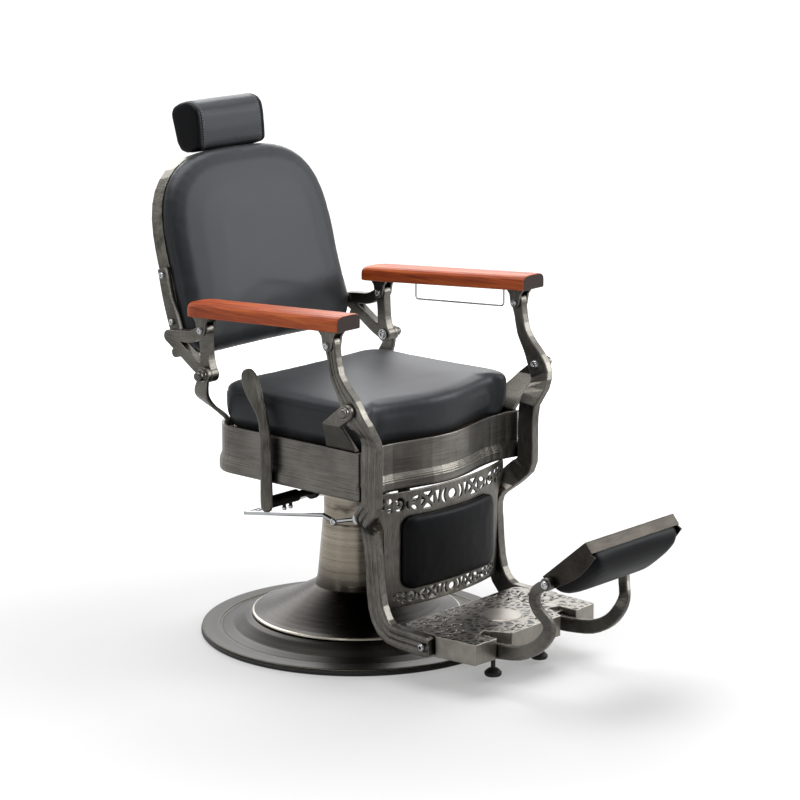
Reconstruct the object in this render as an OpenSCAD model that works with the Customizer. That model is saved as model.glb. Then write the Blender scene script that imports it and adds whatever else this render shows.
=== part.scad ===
// Hydraulic barber chair. Millimetres, +Z up, the sitter faces -Y and +X is at the sitter's left.
// The origin is the centre of the floor plate's underside.

/* [Base] */
// Radius of the round base over its rubber edge
base_r = 354; // [340:1:380]
// Width of the rubber edge ring
rim_w = 12; // [8:1:16]
// Height of the base at its rubber edge
rim_h = 15; // [14:1:22]
// Thickness of the cast floor plate
floor_t = 9; // [7:1:11]
// Width of the flat border inside the rubber edge
border_w = 33; // [24:1:44]
// Radius of the bell's foot
bell_r = 238; // [215:1:255]
// Height of the bell's foot above the floor
bell_z = 44; // [38:1:52]
// Wall of the spun covers
cover_t = 2.5; // [2:0.5:3]

/* [Column] */
// Radius at the bottom of the tapered column
cone_r = 88; // [84:1:96]
// Height at which the bell turns into the column
cone_z = 132; // [120:1:145]
// Height of the column's upper lip
column_z = 262; // [240:1:280]
// Radius of the lifting sleeve
sleeve_r = 74; // [68:1:76]
// Radius of the pump's ram
ram_r = 28; // [22:1:32]
// Radius of the swivel spindle
spindle_r = 14; // [10:1:18]
// Radial clearance of pins and rams in their bores
run_fit = 0.05; // [0.02:0.01:0.09]

/* [Seat frame] */
// Half width of the seat band
band_w = 273; // [265:1:276]
// Height of the seat band's lower edge
band_z = 396; // [390:1:404]
// Height of the seat band
band_h = 106; // [98:1:112]
// Wall of the seat band
band_t = 6; // [4:0.5:8]
// Distance from the column's axis to the band's rear
band_rear = 198; // [194:1:203]
// Middle depth of the serpentine front, measured from the axis
front_mid = 257; // [250:1:262]
// Height of the serpentine's waves
front_wave = 17; // [8:1:20]
// Radius of the band's rear corners
rear_corner = 73; // [64:1:80]
// Thickness of the seat board
board_t = 12; // [9:1:15]
// Height of the cushion's crown over the seat board
cushion_h = 107; // [95:1:120]
// Distance from the band's outside to the cushion's side
cushion_inset = 12.5; // [12:0.5:18]

/* [Linkage] */
// Height of the rear pivots, on which the back turns
rear_pivot_z = 618; // [612:1:624]
// Distance of the rear pivots behind the column's axis
rear_pivot_y = 169; // [165:1:173]
// Height of the front pivots, on which the legs turn
front_pivot_z = 606; // [600:1:610]
// Distance of the front pivots ahead of the column's axis
front_pivot_y = 270; // [266:1:274]
// Height of the armrest's rear bolt
rear_arm_z = 716; // [712:1:720]
// Distance of the armrest's rear bolt behind the axis
rear_arm_y = 180; // [176:1:184]
// Height of the armrest's front bolt
front_arm_z = 740; // [736:1:744]
// Distance of the armrest's front bolt ahead of the axis
front_arm_y = 212; // [208:1:216]
// Sideways place of the rear levers' middle
rear_plane = 294.5; // [293:0.5:296]
// Sideways place of the front levers' middle
front_plane = 314; // [312.5:0.5:315.5]
// Thickness of the levers where they turn
lever_t = 22; // [20:0.5:23]
// Radius of the pivot bolts
pivot_r = 8; // [6:0.5:9]
// Radius of the armrest bolts
arm_bolt_r = 5; // [4:0.5:6]
// Extra radius of the eye that the armrest's front bolt passes
eye_play = 2; // [1.5:0.1:3]

/* [Armrests] */
// Length of a wooden armrest
arm_len = 475; // [440:1:490]
// Width of a wooden armrest
arm_w = 74; // [66:1:80]
// Thickness of a wooden armrest
arm_h = 34; // [28:1:38]
// Height of the wood's underside over the rear bolt
arm_drop = 31; // [29:1:38]
// Thickness of a fork's ears
ear_t = 5.5; // [4:0.5:7]
// Radius of the towel bar
towel_r = 2; // [1.5:0.1:2.5]
// Drop of the towel bar below the wood
towel_drop = 39; // [32:1:44]

/* [Back] */
// Backward lean of the backrest
lean = 16; // [14:0.5:18]
// Half width of the backrest
back_w = 264; // [260:1:266]
// Height of the backrest along its lean
back_h = 440; // [428:1:448]
// Depth of the metal shell
shell_d = 38; // [32:1:42]
// Wall of the metal shell
shell_t = 3; // [2:0.5:4]
// Height of the back cushion's crown
back_crown = 42; // [30:1:50]
// Half length of the headrest
head_w = 111; // [95:1:120]
// Width of the headrest's sliding post
post_w = 40; // [30:1:50]
// Thickness of the headrest's post
post_t = 6; // [5:0.5:8]

/* [Legs] */
// Thickness of a leg below its pivot
leg_t = 24; // [20:1:26]
// Half width of the leg panel
panel_w = 193.7; // [190:0.1:193.8]
// Thickness of the leg panel's casting
panel_t = 5; // [4:0.5:7]
// Height of the panel's lower edge
panel_z = 138; // [130:1:145]
// Height of the panel
panel_h = 258; // [250:1:262]
// Forward bulge of the panel over its width
panel_bulge = 30; // [20:1:36]
// Half width of the panel's pad
pad_w = 153; // [144:1:158]
// Height of the panel's pad
pad_h = 164; // [150:1:168]

/* [Footrest] */
// Height of the footrest's tread
tread_z = 117; // [112:1:120]
// Height of the footrest's rail
rail_h = 46; // [40:1:50]
// Thickness of the tread
tread_t = 6; // [4:0.5:8]
// Distance of the footrest's front from the axis
tread_front = 522; // [510:1:535]
// Height of the levelling feet's undersides
foot_gap = 9; // [6:1:14]
// Half length of the calf pad
calf_w = 153; // [148:1:158]
// Depth of the calf pad along its slope
calf_d = 136; // [128:1:146]
// Slope of the calf pad
calf_slope = 40.5; // [37:0.5:44]

/* [Controls] */
// Radius of the pump pedal's rod
pedal_r = 4.8; // [4:0.1:6]
// Half width of the pump pedal
pedal_w = 114; // [106:1:120]
// Distance of the pedal's cross bar behind the axis
pedal_reach = 238; // [220:1:250]
// Radius of the recline lever's hub
hub_r = 13.5; // [11:0.5:15]

/* [Hidden] */
$fn = 48;
seat_gap = 0.3;
antique = "#5b5a54";
antique_dark = "#3d3c39";
leather = "#33363a";
wood = "#9a4526";
chrome = "#c9ccd0";
rubber = "#18191b";

// A smooth curve through a list of points, with n steps between neighbours.
function curve(p, n) = [for (i = [0 : len(p) - 2]) for (k = [0 : n - 1]) blend(p, i, k / n), p[len(p) - 1]];
function pick(p, i) = p[max(0, min(len(p) - 1, i))];
function blend(p, i, t) = 0.5 * (2 * p[i] + (pick(p, i + 1) - pick(p, i - 1)) * t
  + (2 * pick(p, i - 1) - 5 * p[i] + 4 * pick(p, i + 1) - pick(p, i + 2)) * t * t
  + (3 * p[i] - pick(p, i - 1) - 3 * pick(p, i + 1) + pick(p, i + 2)) * t * t * t);
function unit(v) = v / norm(v);
function heading(p, i) = unit(pick(p, i + 1) - pick(p, i - 1));

// Faces that join equal rings of points into one closed skin, with flat ends.
function skin_faces(rings, n) = concat(
  [[for (j = [n - 1 : -1 : 0]) j]],
  [for (i = [0 : rings - 2]) for (j = [0 : n - 1]) [i * n + j, i * n + (j + 1) % n, (i + 1) * n + j]],
  [for (i = [0 : rings - 2]) for (j = [0 : n - 1])
    [i * n + (j + 1) % n, (i + 1) * n + (j + 1) % n, (i + 1) * n + j]],
  [[for (j = [0 : n - 1]) (rings - 1) * n + j]]);
function total(v) = [for (x = v) 1] * v;
function middle(r) = total(r) / len(r);
function ring_area(r) = total([for (j = [0 : len(r) - 1]) cross(r[j], r[(j + 1) % len(r)])]);
function turn_of(rings) = total([for (i = [0 : len(rings) - 2])
  (ring_area(rings[i]) + ring_area(rings[i + 1])) * (middle(rings[i + 1]) - middle(rings[i]))]);
module skin(rings) {
  n = len(rings[0]);
  outward = turn_of(rings) < 0;
  polyhedron([for (r = rings) for (q = outward ? r : reverse(r)) q], skin_faces(len(rings), n), convexity = 6);
}

// A flat strip of varying width along points [a, b, width], as a polygon.
function strip_side(p, s) = [for (i = [0 : len(p) - 1])
  let (h = heading([for (q = p) [q[0], q[1]]], i)) [p[i][0] - h[1] * s * p[i][2] / 2, p[i][1] + h[0] * s * p[i][2] / 2]];
function reverse(v) = [for (i = [len(v) - 1 : -1 : 0]) v[i]];
module strip(points, steps = 4) {
  p = curve(points, steps);
  polygon(concat(strip_side(p, 1), reverse(strip_side(p, -1))));
}

// Draws a (y, z) outline as a plate between the sideways places x0 and x1.
module side_plate(x0, x1) {
  translate([x0, 0, 0]) rotate([90, 0, 90]) linear_extrude(x1 - x0) children();
}
// A cylinder along X at (y, z), between two sideways places.
module cross_rod(y, z, x0, x1, r) {
  translate([x0, y, z]) rotate([0, 90, 0]) cylinder(h = x1 - x0, r = r);
}
// Draws on the sitter's left (side 1) or mirrored to the right (side -1).
module on_side(side) {
  if (side > 0) children();
  else mirror([1, 0, 0]) children();
}

// ---- Base and column -----------------------------------------------------------------------

border_r = base_r - rim_w - border_w;
plate_r = base_r - rim_w - 0.2;
module floor_plate() {
  color(antique_dark) union() {
    cylinder(h = floor_t, r = plate_r, $fn = 96);
    cylinder(h = floor_t + 12, r = 92);
  }
}
module base_rim() {
  edge = rim_h - 5;
  color(rubber) rotate_extrude($fn = 96) polygon([[plate_r + 0.2, 0], [base_r - 3, 0], [base_r, 3],
    [base_r, edge - 3], [base_r - 2, edge], [plate_r + 0.2, edge]]);
}
function base_top() = [[base_r - 1.5, rim_h - 4.6], [base_r - 2, rim_h - 1.5], [base_r - 5, rim_h],
  [border_r + 4, rim_h + 1], [border_r + 1, rim_h - 2], [border_r - 3, rim_h - 1.5],
  [border_r - 3 - (border_r - bell_r) * 0.36, rim_h + 5], [bell_r + 16, bell_z - 7],
  [bell_r + 4, bell_z - 2.5], [bell_r - 30, bell_z - 2.5]];
module base_cover() {
  top = base_top();
  color(antique_dark) rotate_extrude($fn = 96)
    polygon(concat(top, reverse([for (q = top) [q[0] - (q[0] > base_r - 4 ? cover_t : 0), q[1] - (q[0] > base_r - 4 ? 0 : cover_t)]])));
}
function bell_profile() = concat(
  [[bell_r - 3, bell_z - 2.2], [bell_r, bell_z + 0.5], [bell_r - 0.5, bell_z + 4], [bell_r - 5, bell_z + 6]],
  [for (t = [0.08 : 0.115 : 1]) [bell_r - 5 - (bell_r - 9 - cone_r - 4) * t,
    bell_z + 6 + (cone_z - bell_z - 26) * pow(t, 1.25)]],
  [[cone_r + 1.8, cone_z - 8], [cone_r, cone_z + 4], [sleeve_r + 3.2, column_z - 3], [sleeve_r + 2.6, column_z]]);
module pedestal_cover() {
  outer = bell_profile();
  bore = sleeve_r + 0.4;
  inner = [for (i = [3 : len(outer) - 1]) let (q = outer[i])
    [max(bore, q[0] - cover_t * 1.1), q[1] - (q[0] > cone_r + 6 ? cover_t : 0)]];
  color(antique) rotate_extrude($fn = 96) polygon(concat(outer, reverse(inner), [[bell_r - 9, bell_z - 2.2]]));
}
cylinder_top = column_z - 12;
module pump_cylinder() {
  base = floor_t + 12;
  color(antique_dark) difference() {
    union() {
      translate([0, 0, base]) cylinder(h = cylinder_top - base, r = ram_r + 14);
      translate([0, 0, base]) cylinder(h = 10, r = 80);
    }
    translate([0, 0, base + 20]) cylinder(h = cylinder_top, r = ram_r + run_fit);
  }
}
sleeve_top = band_z - 7;
sleeve_foot = 100;
ram_top = sleeve_top - 4;
module pump_ram() {
  color(chrome) difference() {
    translate([0, 0, 60]) cylinder(h = ram_top - 60, r = ram_r);
    translate([0, 0, ram_top - 46]) cylinder(h = 50, r = spindle_r + run_fit);
  }
}
module lift_sleeve() {
  color(antique) difference() {
    translate([0, 0, sleeve_foot]) cylinder(h = sleeve_top - sleeve_foot, r = sleeve_r, $fn = 96);
    translate([0, 0, sleeve_foot - 1]) cylinder(h = ram_top - sleeve_foot + 1, r = sleeve_r - cover_t, $fn = 96);
    translate([0, 0, ram_top - 1]) cylinder(h = 9, r = spindle_r + 1);
  }
}

// ---- Seat frame ----------------------------------------------------------------------------

hub_z = sleeve_top + seat_gap;
hub_t = 26;
board_z = band_z + band_h - board_t - 12;
// Outline of the seat, d outside the band's outer face; front corners have a radius of rf.
function wave(x) = -front_mid - front_wave * cos(180 * abs(x) / (0.74 * band_w));
function arc(cx, cy, r, a0, a1, n) = [for (i = [0 : n]) let (a = a0 + (a1 - a0) * i / n) [cx + r * cos(a), cy + r * sin(a)]];
function seat_outline(d, rf, rear, rr) =
  let (w = band_w + d, wy = wave(band_w) - d)
  concat([for (i = [-9 : 9]) [(w - rf) * i / 10.2, wave((w - rf) * i / 10.2) - d]],
    arc(w - rf, wy + rf, rf, -90, 0, 5),
    arc(w - rr, rear + d - rr, rr, 0, 90, 8),
    arc(-w + rr, rear + d - rr, rr, 90, 180, 8),
    arc(-w + rf, wy + rf, rf, 180, 270, 5));
// The band's moulding: height over its lower edge, and how far it stands out up to the next height.
band_levels = [[0, 3], [2, 5], [5, 6], [22, 5.2], [27, 3.8], [31, 2.4], [34, 1.2], [37, 0], [band_h - 3.5, 1]];
module seat_frame() {
  inner = seat_outline(-band_t, 6, band_rear, rear_corner - band_t);
  color(antique) difference() {
    for (i = [0 : len(band_levels) - 1]) let (l = band_levels[i], top = i < len(band_levels) - 1 ? band_levels[i + 1][0] : band_h)
      translate([0, 0, band_z + l[0]]) linear_extrude(top - l[0])
        polygon(seat_outline(l[1], 8 + l[1] * 0.6, band_rear, rear_corner + l[1]));
    translate([0, 0, band_z - 1]) linear_extrude(band_h + 2) polygon(inner);
  }
}
module swivel_head() {
  color(antique_dark) union() {
    translate([0, 0, hub_z]) cylinder(h = 12, r = 62);
    translate([0, 0, hub_z - 44]) cylinder(h = 45, r = spindle_r);
  }
}
beam_y = 88;
beam_w = 36;
beam_x = band_w - band_t;
module seat_mount() {
  z0 = hub_z + 12;
  color(antique_dark) union() {
    translate([-130, -125, z0]) cube([260, 250, 8]);
    for (s = [-1, 1]) translate([-beam_x, s * beam_y - beam_w / 2, z0 + 8]) difference() {
      cube([2 * beam_x, beam_w, board_z - z0 - 8]);
      translate([-1, 4, -1]) cube([2 * beam_x + 2, beam_w - 8, board_z - z0 - 11]);
    }
  }
}
module seat_board() {
  color("#6b5a44") translate([0, 0, board_z]) linear_extrude(board_t)
    polygon(seat_outline(-cushion_inset - 2, 30, band_rear - 10.5, 60));
}
cushion_z = board_z + board_t + 0.2;
// Levels of the seat cushion: share of its height, how far its outline is drawn in, and its corners' radius.
cushion_levels = [[0, 9, 60], [0.11, 5, 60], [0.125, 1, 60], [0.18, 0, 60], [0.3, -4, 52], [0.5, -5, 48], [0.78, -5, 48],
  [0.87, -2, 48], [0.93, 6, 48], [0.965, 22, 48], [0.985, 60, 48], [1, 150, 48]];
function seat_ring(l) = [for (q = seat_outline(-cushion_inset, l[2] * 0.75, band_rear - 10.5, l[2]))
  let (c = [0, -30], v = q - c, k = max(0.04, 1 - l[1] / norm(v)))
    [c[0] + v[0] * k, c[1] + v[1] * k, cushion_z + l[0] * cushion_h]];
module seat_cushion() {
  color(leather) skin([for (l = cushion_levels) seat_ring(l)]);
}

// Front gussets: a foot bolted inside the band's front corner, flaring out to the pivot boss.
boss_in = front_plane + lever_t / 2 + 0.5;
boss_out = boss_in + 13;
module front_gusset() {
  foot_y = -front_mid + 21;
  wall_x = band_w - band_t - 0.1;
  color(antique) difference() {
    union() {
      translate([wall_x - 6, foot_y, band_z + 35]) cube([6, 80, band_h - 31]);
      hull() {
        translate([wall_x - 6, foot_y - 4, band_z + band_h + 0.5]) cube([10, 84, 3]);
        translate([boss_in, -front_pivot_y + 20, front_pivot_z - 34]) cube([9, 46, 3]);
      }
      hull() {
        translate([boss_in, -front_pivot_y + 20, front_pivot_z - 34]) cube([9, 46, 3]);
        cross_rod(-front_pivot_y, front_pivot_z, boss_in + 0.5, boss_in + 10, 17, $fn = 32);
      }
      cross_rod(-front_pivot_y, front_pivot_z, boss_in, boss_out, 16);
    }
    cross_rod(-front_pivot_y, front_pivot_z, boss_in - 20, boss_out + 5, pivot_r + 0.02);
  }
}
// Rear posts: a foot on the inside of the band's rear corner, a curved arm and the pivot boss.
post_in = rear_plane + lever_t / 2 + 0.5;
post_arm_t = 11;
foot_w = 34;
// Each place: sideways, backwards, height, turn of the flat about Z, width, thickness.
function post_places() =
  let (cx = band_w - rear_corner, cy = band_rear - rear_corner, top = band_z + band_h,
    r = sqrt(pow(rear_corner - band_t, 2) - foot_w * foot_w / 4) - post_arm_t / 2 - 0.2)
  [[cx + r * cos(42), cy + r * sin(42), top - 42, 42, foot_w, post_arm_t], [cx + r * cos(42), cy + r * sin(42), top + 3, 42, foot_w, post_arm_t],
    [cx + r * cos(42) + 14, cy + r * sin(42) + 6, top + 22, 38, foot_w, post_arm_t + 2],
    [post_in - 24, rear_pivot_y + 13, top + 44, 24, 42, post_arm_t + 2], [post_in - 2, rear_pivot_y + 14, top + 66, 7, 40, post_arm_t + 1],
    [post_in + post_arm_t / 2, rear_pivot_y + 9, rear_pivot_z - 29, 0, 36, post_arm_t - 1],
    [post_in + post_arm_t / 2, rear_pivot_y + 2, rear_pivot_z - 6, 0, 28, post_arm_t - 1]];
function post_ring(q) = [for (c = [[-0.5, -0.42], [-0.38, -0.5], [0.38, -0.5], [0.5, -0.42], [0.5, 0.42], [0.38, 0.5], [-0.38, 0.5], [-0.5, 0.42]])
  let (a = c[0] * q[5], b = c[1] * q[4]) [q[0] + a * cos(q[3]) - b * sin(q[3]), q[1] + a * sin(q[3]) + b * cos(q[3]), q[2]]];
module rear_post() {
  color(antique) difference() {
    union() {
      skin([for (q = curve(post_places(), 3)) post_ring(q)]);
      cross_rod(rear_pivot_y, rear_pivot_z, post_in, post_in + post_arm_t, 18);
    }
    cross_rod(rear_pivot_y, rear_pivot_z, post_in - 5, post_in + 20, pivot_r + 0.02);
  }
}
module front_pivot_bolts() {
  lever_in = front_plane - lever_t / 2 - 0.5;
  color(chrome) for (s = [-1, 1]) on_side(s) {
    cross_rod(-front_pivot_y, front_pivot_z, lever_in, boss_out, pivot_r);
    cross_rod(-front_pivot_y, front_pivot_z, lever_in - 4, lever_in, 11);
    cross_rod(-front_pivot_y, front_pivot_z, boss_out, boss_out + 4, 13);
  }
}
module rear_pivot_bolts() {
  lever_in = rear_plane - lever_t / 2 - 0.5;
  color(chrome) for (s = [-1, 1]) on_side(s) {
    cross_rod(rear_pivot_y, rear_pivot_z, lever_in, post_in + post_arm_t, pivot_r);
    cross_rod(rear_pivot_y, rear_pivot_z, lever_in - 4, lever_in, 12);
    cross_rod(rear_pivot_y, rear_pivot_z, post_in + post_arm_t, post_in + post_arm_t + 4, 14);
  }
}

// ---- Controls ------------------------------------------------------------------------------

lever_y = 4;
lever_z = 352;
lever_plane = band_w + 17;
bearing_x = 144;
module lever_bearing() {
  top = hub_z + 12;
  color(antique_dark) difference() {
    union() {
      translate([-bearing_x - 6, lever_y - 18, lever_z]) cube([12, 36, top - lever_z]);
      cross_rod(lever_y, lever_z, -bearing_x - 6, -bearing_x + 6, 18);
      translate([-bearing_x - 6, lever_y - 18, top - 8]) cube([40, 36, 8]);
    }
    cross_rod(lever_y, lever_z, -bearing_x - 20, -bearing_x + 20, 8 + run_fit);
  }
}
module lever_shaft() {
  color(rubber) union() {
    cross_rod(lever_y, lever_z, -lever_plane + 8.2, -lever_plane + 95, hub_r);
    cross_rod(lever_y, lever_z, -lever_plane + 94, -bearing_x + 12, 8);
    for (k = [56, 76]) translate([-lever_plane + k, lever_y, lever_z - hub_r - 7]) cylinder(h = 10, r = 4);
  }
}
// The handle: backwards, height, width, thickness.
handle = [[lever_y, lever_z - 19, 14, 12], [lever_y, lever_z - 12, 30, 16], [lever_y, lever_z + 8, 35, 16],
  [lever_y + 1, lever_z + 60, 33, 15], [lever_y + 3, lever_z + 145, 31, 14], [lever_y + 10, lever_z + 190, 31, 13],
  [lever_y + 22, lever_z + 215, 38, 12], [lever_y + 36, lever_z + 243, 52, 11], [lever_y + 48, lever_z + 269, 52, 10],
  [lever_y + 57, lever_z + 285, 38, 8], [lever_y + 60, lever_z + 291, 14, 5]];
oval = [for (a = [0 : 30 : 330]) [cos(a), sin(a)]];
module recline_lever() {
  p = curve(handle, 3);
  axis = [for (q = p) [q[0], q[1]]];
  color(antique) translate([-lever_plane, 0, 0])
    skin([for (i = [0 : len(p) - 1]) let (h = heading(axis, i))
      [for (c = oval) [c[0] * p[i][3] / 2, p[i][0] + h[1] * c[1] * p[i][2] / 2, p[i][1] - h[0] * c[1] * p[i][2] / 2]]]);
}
pedal_y = -105;
pedal_z = 300;
pedal_end_z = 253;
module pedal_bracket() {
  top = hub_z + 12;
  color(antique_dark) for (s = [-1, 1]) difference() {
    union() {
      translate([s * 42 - 5, pedal_y - 14, pedal_z]) cube([10, 28, top - pedal_z]);
      cross_rod(pedal_y, pedal_z, s * 42 - 5, s * 42 + 5, 14);
    }
    cross_rod(pedal_y, pedal_z, s * 42 - 20, s * 42 + 20, 6 + run_fit);
  }
}
module pedal_pin() {
  color(chrome) cross_rod(pedal_y, pedal_z, -pedal_w - 8, pedal_w + 8, 6);
}
module rod_between(p, q, r) {
  d = q - p;
  translate(p) rotate([0, acos(d[2] / norm(d)), atan2(d[1], d[0])]) cylinder(h = norm(d), r = r);
}
// The pedal's side bar, from its boss down to a dip and back to the cross bar: backwards and height.
pedal_bar = [[pedal_y + 8, pedal_z - 2], [pedal_y + 68, pedal_z - 18], [pedal_y + 102, pedal_z - 9],
  [pedal_reach, pedal_end_z]];
module pump_pedal() {
  color(chrome) union() {
    for (s = [-1, 1]) {
      difference() {
        union() {
          cross_rod(pedal_y, pedal_z, s * pedal_w - 5, s * pedal_w + 5, 11);
          rod_between([s * pedal_w, pedal_bar[0][0], pedal_bar[0][1]], [s * pedal_w, pedal_bar[1][0], pedal_bar[1][1]], pedal_r);
        }
        cross_rod(pedal_y, pedal_z, s * pedal_w - 9, s * pedal_w + 9, 6.02);
      }
      for (i = [1 : 3]) translate([s * pedal_w, pedal_bar[i][0], pedal_bar[i][1]]) sphere(r = pedal_r + 0.1);
      for (i = [1, 2]) rod_between([s * pedal_w, pedal_bar[i][0], pedal_bar[i][1]],
        [s * pedal_w, pedal_bar[i + 1][0], pedal_bar[i + 1][1]], pedal_r);
    }
    rod_between([-pedal_w, pedal_reach, pedal_end_z], [pedal_w, pedal_reach, pedal_end_z], pedal_r);
  }
}

// ---- Back ----------------------------------------------------------------------------------

back_y = 268;
back_z = 647;
// Places a backrest piece: local X sideways, local Y backwards, local Z up along the lean.
module on_back() {
  translate([0, back_y, back_z]) rotate([-lean, 0, 0]) children();
}
// Half of the tombstone outline, from the middle of the lower edge to the middle of the top.
dome_z = 188;
function back_half(d) = concat(
  [[0, -8 - d], [back_w * 0.4, -9 - d], [back_w * 0.6, -10 - d]],
  arc(back_w - 58, 48, 58 + d, -90, 0, 6),
  [[back_w + d, dome_z * 0.65]],
  [for (a = [0, 1.5, 5, 11, 19, 28, 37, 46, 55, 64, 73, 81])
    [(back_w + d) * pow(cos(a), 0.65), dome_z + (back_h - dome_z + d) * pow(sin(a), 0.65)]]);
function mirror_x(v) = [for (i = [len(v) - 1 : -1 : 1]) [-v[i][0], v[i][1]]];
function back_outline(d) = concat(back_half(d), [[0, back_h + d]], mirror_x(back_half(d)));
module back_slab(y0, y1, d) {
  translate([0, y1, 0]) rotate([90, 0, 0]) linear_extrude(y1 - y0) polygon(back_outline(d));
}
module back_shell() {
  color(antique) on_back() difference() {
    union() {
      back_slab(0, shell_d - 6, 0);
      back_slab(shell_d - 6.5, shell_d - 2, -2.5);
      back_slab(shell_d - 2.5, shell_d, -7);
    }
    back_slab(-1, shell_d - shell_t - 2, -shell_t - 1.5);
  }
}
// Levels of the back cushion: share of the crown, and how far the outline is drawn in.
back_levels = [[-0.72, 8], [0.0075, 7.5], [0.009, 1.5], [0.1, 0], [0.25, 0.3], [0.45, 4], [0.62, 13], [0.8, 38], [0.93, 90], [1, 150]];
function back_ring(d, y) = [for (q = back_outline(0))
  let (c = [0, back_h * 0.48], v = q - c, k = max(0.04, 1 - d / norm(v))) [c[0] + v[0] * k, -y, c[1] + v[1] * k]];
module back_cushion() {
  color(leather) on_back() skin([for (l = back_levels) back_ring(l[1], l[0] * back_crown)]);
}
bracket_in = back_w + 0.3;
upper_t = 14;
function on_lean(u, n) = [back_y + u * sin(lean) + n * cos(lean), back_z + u * cos(lean) - n * sin(lean)];
upper_bolt = on_lean(180, 12);
lower_bolt = on_lean(74, 12);
C = [rear_arm_y, rear_arm_z];
A = [rear_pivot_y, rear_pivot_z];
module lower_casting_2d() {
  knee = lower_bolt + [-16, -27];
  strip([[C[0], C[1], 26], [C[0] + 35, C[1] - 19, 26], [C[0] + 75, C[1] - 23, 25], [knee[0], knee[1] + 1, 27]]);
  strip([[C[0], C[1], 26], [C[0] - 3, C[1] - 36, 23], [C[0] - 5, C[1] - 66, 25], [A[0], A[1], 32]]);
  strip([[A[0], A[1], 32], [A[0] + 32, A[1] + 14, 27], [A[0] + 66, A[1] + 36, 26], [knee[0], knee[1] - 1, 27]]);
}
module upper_casting_2d() {
  strip([[upper_bolt[0] + 4, upper_bolt[1] + 14, 24], [upper_bolt[0], upper_bolt[1], 25],
    [upper_bolt[0] - 12, upper_bolt[1] - 50, 26], [lower_bolt[0] - 2, lower_bolt[1], 32],
    [lower_bolt[0] - 13, lower_bolt[1] - 32, 28]]);
}
module back_bracket() {
  low_in = rear_plane - lever_t / 2;
  low_out = rear_plane + lever_t / 2;
  color(antique) difference() {
    union() {
      side_plate(bracket_in, bracket_in + upper_t) upper_casting_2d();
      side_plate(low_in, low_out) {
        lower_casting_2d();
        translate(C) circle(r = 15);
        translate(A) circle(r = 18);
        translate(A + [96, 36]) circle(r = 11);
      }
      cross_rod(lower_bolt[0] - 14, lower_bolt[1] - 26, bracket_in, low_out, 14);
    }
    cross_rod(A[0], A[1], low_in - 5, low_out + 5, pivot_r + run_fit);
    cross_rod(C[0], C[1], low_in - 5, low_out + 5, arm_bolt_r + run_fit);
    for (b = [upper_bolt, lower_bolt]) cross_rod(b[0], b[1], bracket_in - 3, low_in + 20, 4.1);
  }
}
module bracket_bolts() {
  out = bracket_in + upper_t;
  color(chrome) for (s = [-1, 1]) on_side(s) for (b = [upper_bolt, lower_bolt]) {
    cross_rod(b[0], b[1], back_w + 0.2, out + 0.3, 4);
    cross_rod(b[0], b[1], out + 0.1, out + 4.5, 7);
  }
}
post_y = shell_d + 24;
module headrest_socket() {
  color(antique_dark) on_back() difference() {
    translate([-post_w / 2 - 8, shell_d, 270]) cube([post_w + 16, post_y - shell_d + post_t + 6, 90]);
    translate([-post_w / 2 - 0.1, post_y - 0.1, 260]) cube([post_w + 0.2, post_t + 0.2, 110]);
  }
}
head_z = back_h + 0.6;
module headrest_post() {
  color(chrome) on_back() translate([-post_w / 2, post_y, 235]) cube([post_w, post_t, head_z + 95 - 235]);
}
module headrest_plate() {
  color(antique_dark) on_back() translate([-60, post_y - 7, head_z + 32]) cube([120, 6.9, 62]);
}
// The headrest's side view: backwards and height from its lowest point.
head_side = [[-13, 4], [-21, 40], [-26, 72], [-26, 90], [-18, 104], [-1, 113], [22, 114], [44, 109],
  [54, 96], [54, 62], [54, 28], [47, 8], [32, 1], [8, 0], [-6, 0.5]];
head_levels = [[-1, 0.84], [-0.985, 0.93], [-0.95, 0.985], [-0.88, 1], [0.88, 1], [0.95, 0.985], [0.985, 0.93], [1, 0.84]];
module headrest_cushion() {
  mid = [14, 57];
  color(leather) on_back() translate([0, 0, head_z]) skin([for (l = head_levels)
    [for (q = head_side) [l[0] * head_w, mid[0] + (q[0] - mid[0]) * l[1], mid[1] + (q[1] - mid[1]) * l[1]]]]);
}

// ---- Armrests ------------------------------------------------------------------------------

arm_rear = rear_arm_y + 39;
rise = (front_arm_z - rear_arm_z + 2) / (rear_arm_y + front_arm_y);
function wood_z(y) = rear_arm_z + arm_drop + (rear_arm_y - y) * rise;
splay = atan2(front_plane - rear_plane, rear_arm_y + front_arm_y);
// A place on an armrest: x outwards from its middle, y backwards, z up from the wood's underside.
function on_arm(x, y, z) = [rear_plane - 7.5 + (arm_rear - y) * sin(splay) + x, y, wood_z(y) + z];
// Cross section of the wood, as shares of its half width and thickness.
wood_section = [[-0.94, 0], [0.94, 0], [1, 0.06], [1, 0.55], [0.96, 0.74], [0.86, 0.88], [0.7, 0.96], [0.4, 0.995],
  [-0.4, 0.995], [-0.7, 0.96], [-0.86, 0.88], [-0.96, 0.74], [-1, 0.55], [-1, 0.06]];
// Ends of the wood: distance from the rear end, share of the width and of the height.
function wood_places() = [[0, 0.62, 0.74], [2, 0.74, 0.82], [8, 0.88, 0.92], [18, 0.96, 0.97], [34, 1, 1],
  [arm_len * 0.5, 1, 1], [arm_len - 6, 1, 1], [arm_len - 1.5, 0.99, 0.98], [arm_len, 0.97, 0.95]];
module armrest() {
  color(wood) skin([for (p = wood_places()) [for (c = wood_section)
    on_arm(c[0] * p[1] * arm_w / 2, arm_rear - p[0], c[1] * p[2] * arm_h)]]);
}
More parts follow.
